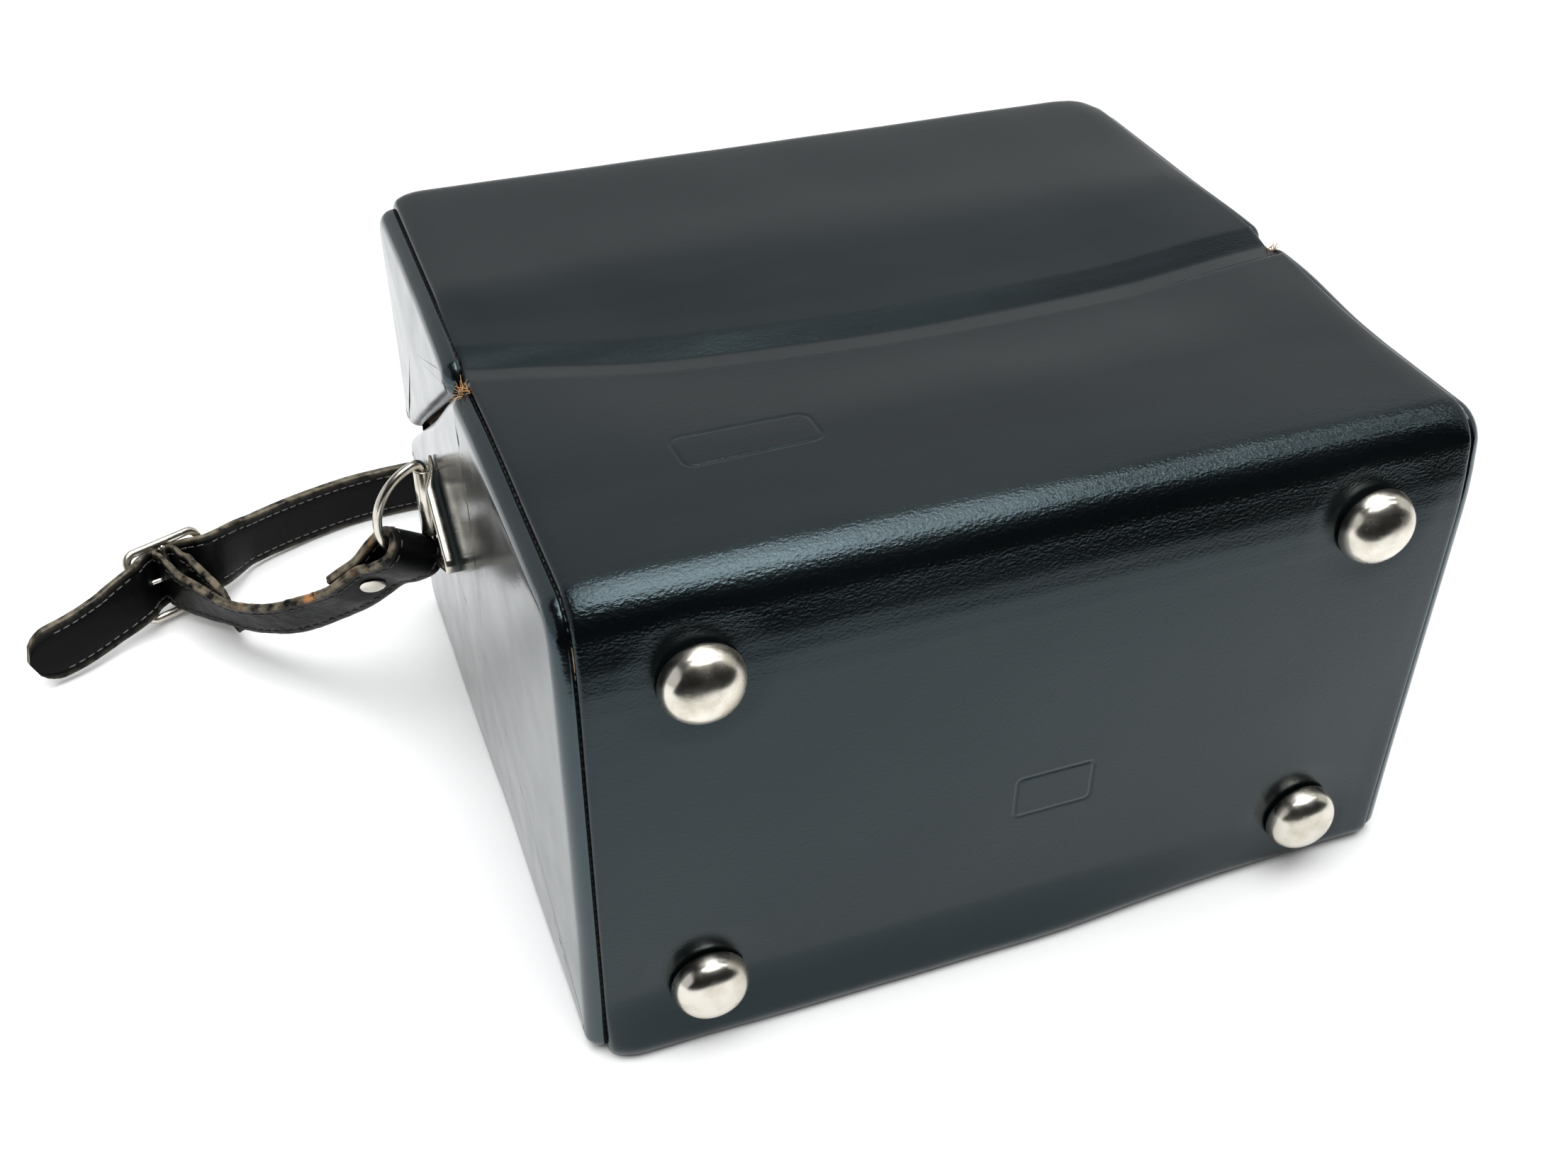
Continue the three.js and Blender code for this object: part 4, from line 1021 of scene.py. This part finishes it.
def strap(name, stations, tip=0.0, creased_at=None):
    """A stitched two-layer strap along its stations, with a rounded tip where tip is its length."""
    route = smooth_route(stations, 1.6 * MM)
    centres = [item[0] for item in route]
    travelled = [0.0]
    for here, there in zip(centres, centres[1:]):
        travelled.append(travelled[-1] + (there - here).length)
    total = travelled[-1]
    last = len(route) - 1
    shares = rim_share(STRAP_WIDTH)
    verts, rims, worn, creased, frames = [], [], [], [], []
    for index, (centre, width, thickness) in enumerate(route):
        tangent = step_across(centres, index).normalized()
        across = (width - tangent * width.dot(tangent)).normalized()
        up = tangent.cross(across)
        frames.append((centre, tangent, across, up, thickness))
        left = total - travelled[index]
        taper = math.sqrt(max(0.0, 1 - (1 - left / tip) ** 2)) if tip and left < tip else 1.0
        crease = creased_at(centre) if creased_at else 0.3
        uneven = 1 + 0.012 * noise.noise(Vector((travelled[index] * 60, len(stations), 0)))
        points = strap_section(STRAP_WIDTH, STRAP_THICK * thickness)
        for (u, v), share in zip(points, shares):
            buckled = 0.22 * MM * crease * noise.noise(Vector((travelled[index] * 420, u * 190, v * 90)))
            verts.append(centre + across * u * max(taper, 0.05) * uneven + up * (v + buckled))
            rims.append(share)
            raw = ease(noise.noise(Vector((travelled[index] * 130, u * 60, 7.7))), 0.25, 0.45)
            worn.append(share * raw * crease if u > 0 and creased_at else 0.0)
            creased.append(crease)
    count = len(shares)
    faces = grid_faces(len(route), count, wrap_columns=True)
    faces += [list(range(count))[::-1], [last * count + index for index in range(count)]]
    slots = [0] * len(faces)
    next_stitch = STITCH_PITCH
    for index in range(1, last):
        if travelled[index] < next_stitch or total - travelled[index] < max(tip, 3 * MM):
            continue
        next_stitch += STITCH_PITCH
        centre, tangent, across, up, thickness = frames[index]
        for edge in (-1, 1):
            for face in (-1, 1):
                reach = STRAP_THICK * thickness / 2 - 0.1 * MM
                place = centre + across * edge * (STRAP_WIDTH / 2 - 2.8 * MM) + up * face * reach
                more, more_faces = stitch(place, tangent, across, up * face)
                faces += [[len(verts) + number for number in item] for item in more_faces]
                slots += [1] * len(more_faces)
                verts += more
                for values in (rims, worn, creased):
                    values += [0.0] * len(more)
    attributes = {"rim": rims, "wear": worn, "creased": creased}
    piece = make_piece(name, verts, faces, STRAP_LEATHER, THREAD, attributes=attributes, slots=slots)
    return piece, centres


def make_fold_rivet(name, node, fold, body):
    """A rivet through both layers of a fold, with a low domed head on each side."""
    half = STRAP_THICK + FIT_GAP
    head_height = 1.1 * MM
    head = [(radius, half + height) for radius, height in domed_head(3.9 * MM, head_height)]
    outer = head + [(AXIS_HOLE, half + head_height)]
    profile = [(radius, -height) for radius, height in reversed(outer)]
    profile += [(RIVET_SHANK, -half), (RIVET_SHANK, half), *outer]
    rivet = lathe(name, profile, axis_place(fold.at(FOLD_RIVET, 0), fold.front), 40)
    return declare(rivet, "nickel", body, node)


def make_buckle():
    """A bent frame of slightly flattened wire, with a straight bar across its middle."""
    half_length = BUCKLE_LENGTH / 2 - BUCKLE_WIRE
    half_height = BUCKLE_HEIGHT / 2 - BUCKLE_WIRE
    corner = 3.2 * MM
    corners = [
        (-half_length, -half_height, corner),
        (half_length, -half_height, corner),
        (half_length, half_height, corner),
        (-half_length, half_height, corner),
    ]
    line = rounded_line(corners, 1.5 * MM, closed=True)
    bow = 0.25 * MM
    centres = [at_buckle(point.x, bow * math.cos(point.x / half_length * 2), point.y) for point in line]
    frames = carried_frames(centres, BUCKLE_FRONT.copy(), closed=True)
    flat = [(u * 0.95, v * 1.25) for u, v in circle(BUCKLE_WIRE, 16)]
    outline = swept("buckle_outline", centres, frames, lambda index: flat, NICKEL, closed=True)
    declare(outline, "nickel", "case", "buckle_frame")
    ends = [at_buckle(0, 0, -half_height), at_buckle(0, 0, half_height)]
    steps = 10
    bar_centres = [ends[0].lerp(ends[1], step / steps) for step in range(steps + 1)]
    bar = swept(
        "buckle_bar",
        bar_centres,
        carried_frames(bar_centres, BUCKLE_ALONG.copy()),
        lambda index: circle(BUCKLE_WIRE * 0.95, 16),
        NICKEL,
    )
    declare(bar, "nickel", "case")
    return [outline, bar]


def make_prong():
    """A pin bent round the bar into an eye, which rests behind the frame's far side."""
    pin_radius, eye_share, tip_loss = 0.85 * MM, 0.55, 0.25
    eye = BUCKLE_WIRE * 1.41 + FIT_GAP + 0.45 * MM
    tip_along = -BUCKLE_LENGTH / 2 - 0.4 * MM
    tip_front = -BUCKLE_WIRE - 1.35 * MM
    places = arc((0, 0), eye, 540, 190, 20)[::-1]
    eye_count = len(places)
    steps = 12
    for part in (step / steps for step in range(1, steps + 1)):
        places.append((tip_along * part - eye * (1 - part), tip_front * part))
    centres = [at_buckle(along, front) for along, front in places]
    last = len(centres) - 1

    def section(index):
        narrowed = 1 - tip_loss * ease(index, last - 3, last)
        return circle(pin_radius * narrowed * (eye_share if index < eye_count else 1), 12)

    prong = swept("prong_pin", centres, carried_frames(centres, BUCKLE_UP.copy()), section, NICKEL)
    return declare(prong, "nickel", "prong", "buckle_prong")


def make_straps():
    short_fold = FoldFrame(-1, mm(-137.4, 58.2, 38.6))
    long_fold = FoldFrame(1, mm(137, 62, 42))
    buckle = make_buckle()
    prong = make_prong()

    def short_creases(point):
        return 0.25 + 0.75 * ease(-point.x, 0.135, 0.15) * (1 - ease(-point.x, 0.18, 0.195))

    short, short_line = strap("short_strap_leather", short_strap_stations(short_fold), 0.0, short_creases)
    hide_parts("short_strap", "short_strap_fold")
    short_rivet = make_fold_rivet("short_rivet", "short_strap_rivet", short_fold, "d_ring_left")
    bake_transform(short)

    long, long_line = strap("long_strap_leather", long_strap_stations(long_fold), 9 * MM)
    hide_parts("long_strap", "long_strap_fold")
    long_rivet = make_fold_rivet("long_rivet", "long_strap_rivet", long_fold, "d_ring_right")
    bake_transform(long)


# ---------------------------------------------------------------- ring plates and D-rings

PLATE_APEX_Y = 14 * MM
PLATE_BASE_Y = 50 * MM
PLATE_Z = 69 * MM
PLATE_HALF = 19 * MM
PLATE_RIM = 4 * MM
TUBE_RADIUS = 2.6 * MM
TUBE_LENGTH = 22 * MM


def ring_plate(side, where):
    """A stamped triangle whose rim stands up, lower towards the D-ring, and is closed underneath."""
    low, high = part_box(f"ring_plate_{where}")
    foot = high.x if side < 0 else low.x
    corners = [
        (PLATE_APEX_Y, PLATE_Z, 3 * MM),
        (PLATE_BASE_Y, PLATE_Z - PLATE_HALF, 2.5 * MM),
        (PLATE_BASE_Y, PLATE_Z + PLATE_HALF, 2.5 * MM),
    ]
    line = rounded_line(corners, 1.5 * MM, closed=True)
    normals = outward_normals(line, closed=True)
    centre = sum(line, Vector((0, 0))) / len(line)
    sheet = 1 * MM
    wall = 1.2 * MM
    rings = [(0, 0), (0, 0.8), (0.12, 0.93), (0.35, 1), (0.65, 1), (0.88, 0.93), (1, 0.8), (1.05, 0.25)]
    verts = []
    for inset, height in rings:
        for place, normal in zip(line, normals):
            rim = sheet + (PLATE_RIM - sheet) * (1 - ease(place.x, 38 * MM, 45 * MM))
            flat = place - normal * inset * wall
            reach = sheet + (rim - sheet) * height if height > 0.25 else sheet * (1 if height else 0)
            verts.append(Vector((foot + side * reach, flat.x, flat.y)))
    count = len(line)
    for towards in (0.3, 0.6, 0.85):
        for place, normal in zip(line, normals):
            flat = (place - normal * 1.6 * wall).lerp(centre, towards)
            verts.append(Vector((foot + side * sheet, flat.x, flat.y)))
    verts.append(Vector((foot + side * sheet, centre.x, centre.y)))
    total = len(rings) + 3
    faces = grid_faces(total, count, wrap_columns=True)
    last = (total - 1) * count
    faces += [[last + index, last + (index + 1) % count, last + count] for index in range(count)]
    faces.append(list(range(count)))
    plate = make_piece(f"stamped_plate_{where}", verts, faces, NICKEL)
    declare(plate, "nickel", "case", f"ring_plate_{where}")
    bar = ring_point(side, 0, 0)
    half = TUBE_LENGTH / 2
    bore = RING_WIRE + FIT_GAP
    edge = 0.3 * MM
    low_end = [
        (bore, -half + 0.2 * MM),
        (bore + edge, -half),
        (TUBE_RADIUS - edge, -half),
        (TUBE_RADIUS, -half + edge),
    ]
    tube_profile = low_end + [(radius, -height) for radius, height in reversed(low_end)]
    place = axis_place(Vector((bar.x, bar.y, PLATE_Z)), Vector((0, 0, 1)))
    declare(lathe(f"plate_tube_{where}", tube_profile, place, 40, bored=True), "nickel", "case")


def d_ring(side, where):
    """A bent wire: its straight bar goes through the tube, and its bow carries the strap."""
    straight = RING_RADIUS - RING_BEND
    places = [(0.0, -straight * part / 6) for part in range(7)]
    places += [(x + RING_BEND, z - straight) for x, z in arc((0, 0), RING_BEND, 180, 250, 5)][1:]
    turn = math.degrees(math.acos(RING_BEND / RING_RADIUS))
    places += arc((0, 0), RING_RADIUS, -turn + 4, turn - 4, 36)
    places += [(x + RING_BEND, z + straight) for x, z in arc((0, 0), RING_BEND, 110, 180, 5)][:-1]
    places += [(0.0, straight * (1 - part / 6)) for part in range(6)]
    centres = [ring_point(side, out, up) for out, up in places]
    across = ring_point(side, 1, 0) - ring_point(side, 0, 0)
    frames = carried_frames(centres, across.cross(Vector((0, 0, 1))), closed=True)
    wire = circle(RING_WIRE, 18)
    ring = swept(f"bent_ring_{where}", centres, frames, lambda index: wire, NICKEL, closed=True)
    declare(ring, "nickel", f"d_ring_{where}", f"d_ring_{where}")


# ---------------------------------------------------------------- turn lock

def refine(node, name, body, material, slot, bevel):
    """A softer copy of a node: its flat faces are joined again and its edges are rounded."""
    source = frame["nodes"][node]
    mesh = source.data.copy()
    mesh.materials.clear()
    mesh.materials.append(material)
    shape = bmesh.new()
    shape.from_mesh(mesh)
    bmesh.ops.remove_doubles(shape, verts=shape.verts, dist=0.01 * MM)
    bmesh.ops.dissolve_limit(shape, angle_limit=math.radians(2), verts=shape.verts, edges=shape.edges)
    sharp = [edge for edge in shape.edges if edge.is_manifold and edge.calc_face_angle(0) > math.radians(35)]
    bmesh.ops.bevel(
        shape, geom=sharp, offset=bevel, offset_type="OFFSET", segments=2, profile=0.6, affect="EDGES",
        clamp_overlap=True,
    )
    shape.to_mesh(mesh)
    shape.free()
    mesh.shade_smooth()
    piece = bpy.data.objects.new(name, mesh)
    bpy.context.scene.collection.objects.link(piece)
    declare(piece, slot, body, node)


def make_lock():
    refine("lock_tongue", "stitched_tongue", "lid", END_LEATHER, "case_leather", 0.4 * MM)
    refine("lock_slot_frame", "stamped_slot_frame", "lid", NICKEL, "nickel", 0.25 * MM)
    refine("lock_base_plate", "stamped_base_plate", "case", NICKEL, "nickel", 0.2 * MM)
    refine("lock_turn_button", "turn_wing", "turn_button", NICKEL, "nickel", 0.5 * MM)


# ---------------------------------------------------------------- frayed places

def fray(name, centre, direction, count, length, body, seed):
    """A tuft of raw fibres: thin strands that leave one place and curl apart."""
    chance = random.Random(seed)
    sides, steps, spread, strand = 5, 5, 1.3 * MM, 0.16 * MM
    verts, faces = [], []
    for _ in range(count):
        aim = direction + Vector([chance.uniform(-0.8, 0.8) for _ in range(3)])
        aim.normalize()
        curl = Vector([chance.uniform(-0.5, 0.5) for _ in range(3)])
        start = centre + Vector([chance.uniform(-spread, spread) for _ in range(3)])
        reach = length * chance.uniform(0.5, 1.0)
        side = aim.orthogonal().normalized()
        other = aim.cross(side)
        first = len(verts)
        for step in range(steps + 1):
            part = step / steps
            middle = start + aim * reach * part + curl * reach * part * part
            for u, v in circle(strand * (1 - 0.75 * part), sides):
                verts.append(middle + side * u + other * v)
        strip = grid_faces(steps + 1, sides, wrap_columns=True)
        strip += [list(range(sides))[::-1], [steps * sides + index for index in range(sides)]]
        faces += [[first + index for index in face] for face in strip]
    declare(make_piece(name, verts, faces, RAW_FIBRE), "fibre_board", body)


def make_frayed_places():
    left = Vector((-END_COVER_FOOT - 1 * MM, HINGE.y - 0.5 * MM, HINGE.z + 0.2 * MM))
    right = Vector((END_FACE_X - 2 * MM, HINGE.y, HINGE.z - 0.5 * MM))
    fray("frayed_hinge_left", left, Vector((-0.6, -0.2, 0.7)), 34, 3.2 * MM, "case", 11)
    fray("frayed_hinge_right", right, Vector((0.6, -0.1, 0.7)), 26, 3 * MM, "case", 12)


# ---------------------------------------------------------------- boards and linings

def dress_nodes():
    for name, node in frame["nodes"].items():
        if "board" in name:
            look = FIBRE_BOARD
        elif "lining" in name:
            look = LINING
        else:
            continue
        for slot in node.material_slots:
            slot.material = look


# ---------------------------------------------------------------- floor and light

def staged_plane(name, corners, material):
    mesh = bpy.data.meshes.new(name)
    mesh.from_pydata(corners, [], [(0, 1, 2, 3)])
    mesh.materials.append(material)
    plane = bpy.data.objects.new(name, mesh)
    bpy.context.scene.collection.objects.link(plane)
    return plane


def make_floor():
    nodes = Nodes("floor_paper")
    base = nodes.blend(nodes.noise(3, 3), colour(0.88, 0.89, 0.90), colour(0.91, 0.91, 0.91))
    paper = nodes.surface(Base_Color=base, Roughness=0.6)
    size = 6.0
    corners = [(-size, -size, 0), (size, -size, 0), (size, size, 0), (-size, size, 0)]
    staged_plane("floor", corners, paper)


def make_dark_card():
    """A black card in front of the case. Only reflections see it, and it keeps the leather black."""
    nodes = Nodes("black_card")
    black = nodes.surface(Base_Color=colour(0.004, 0.004, 0.004), Roughness=1.0, Specular_IOR_Level=0.0)
    left, right, near, low, high = -0.5, 0.85, -0.29, 0.004, 1.1
    far = near - 0.55
    corners = [(left, near, low), (right, near, low), (right, far, high), (left, far, high)]
    card = staged_plane("dark_card", corners, black)
    card.visible_camera = False
    card.visible_diffuse = False
    card.visible_shadow = False


def area_light(name, place, target, size, power, in_reflections=True):
    """A soft lamp. One that shows in reflections lights nothing else."""
    data = bpy.data.lights.new(name, "AREA")
    data.shape = "RECTANGLE"
    data.size, data.size_y = size
    data.energy = power
    light = bpy.data.objects.new(name, data)
    light.location = place
    aim = Vector(target) - Vector(place)
    light.rotation_mode = "QUATERNION"
    light.rotation_quaternion = aim.to_track_quat("-Z", "Y")
    light.visible_glossy = in_reflections
    light.visible_diffuse = not in_reflections
    bpy.context.scene.collection.objects.link(light)


def make_world():
    """A white wall behind the case, and a dim room above it. The camera itself sees only white."""
    world = bpy.data.worlds.new("room")
    nodes = NodeTree(world)
    split = nodes.add("ShaderNodeSeparateXYZ")
    nodes.put(split.inputs["Vector"], nodes.add("ShaderNodeTexCoord").outputs["Generated"])
    height_angle = nodes.maths("ARCTAN2", split.outputs["Z"], split.outputs["Y"])
    ramp = nodes.add("ShaderNodeValToRGB")
    nodes.put(ramp.inputs["Fac"], nodes.spread(height_angle, 0.0, math.pi))
    stops = [(0.0, 0.6), (0.31, 0.68), (0.36, 0.02), (0.5, 0.02), (1.0, 0.015)]
    elements = ramp.color_ramp.elements
    for _ in stops[2:]:
        elements.new(0.5)
    for element, (position, level) in zip(elements, stops):
        element.position = position
        element.color = colour(level, level, level)
    side_from, side_to, side_level = 0.72, 0.82, 0.7
    sideways = nodes.spread(nodes.maths("ABSOLUTE", split.outputs["X"]), side_from, side_to)
    room = nodes.blend(sideways, ramp.outputs["Color"], colour(side_level, side_level, side_level))
    camera_sees = nodes.add("ShaderNodeLightPath").outputs["Is Camera Ray"]
    background = nodes.tree.nodes["Background"]
    nodes.put(background.inputs["Color"], nodes.blend(camera_sees, room, colour(1, 1, 1)))
    bpy.context.scene.world = world


def make_light():
    make_world()
    height = 1.1
    panel_x, panel_width = 0.35, 1.7
    lamp_x, lamp_width, lamp_share = 0.12, 0.5, 10
    for name, y, length, power in (("back", 0.04, 0.12, 3), ("front", -0.42, 0.24, 3.5)):
        panel_size, lamp_size = (panel_width, length), (lamp_width, length)
        area_light(f"ceiling_panel_{name}", (panel_x, y, height), (panel_x, y, 0), panel_size, power)
        area_light(f"lamp_left_{name}", (lamp_x, y, height), (lamp_x, y, 0), lamp_size, power * lamp_share)
    area_light("fill", (-0.3, -0.1, 2.5), (0, 0.2, 0), (3.2, 3.2), 135, in_reflections=False)
    bpy.context.scene.view_settings.view_transform = "Standard"


# ---------------------------------------------------------------- the whole object

make_straps()
make_skins()
make_end_covers()
make_feet()
make_plate_rivets()
for case_side, case_end in SIDES:
    ring_plate(case_side, case_end)
    d_ring(case_side, case_end)
make_lock()
make_frayed_places()
dress_nodes()
make_floor()
make_dark_card()
make_light()
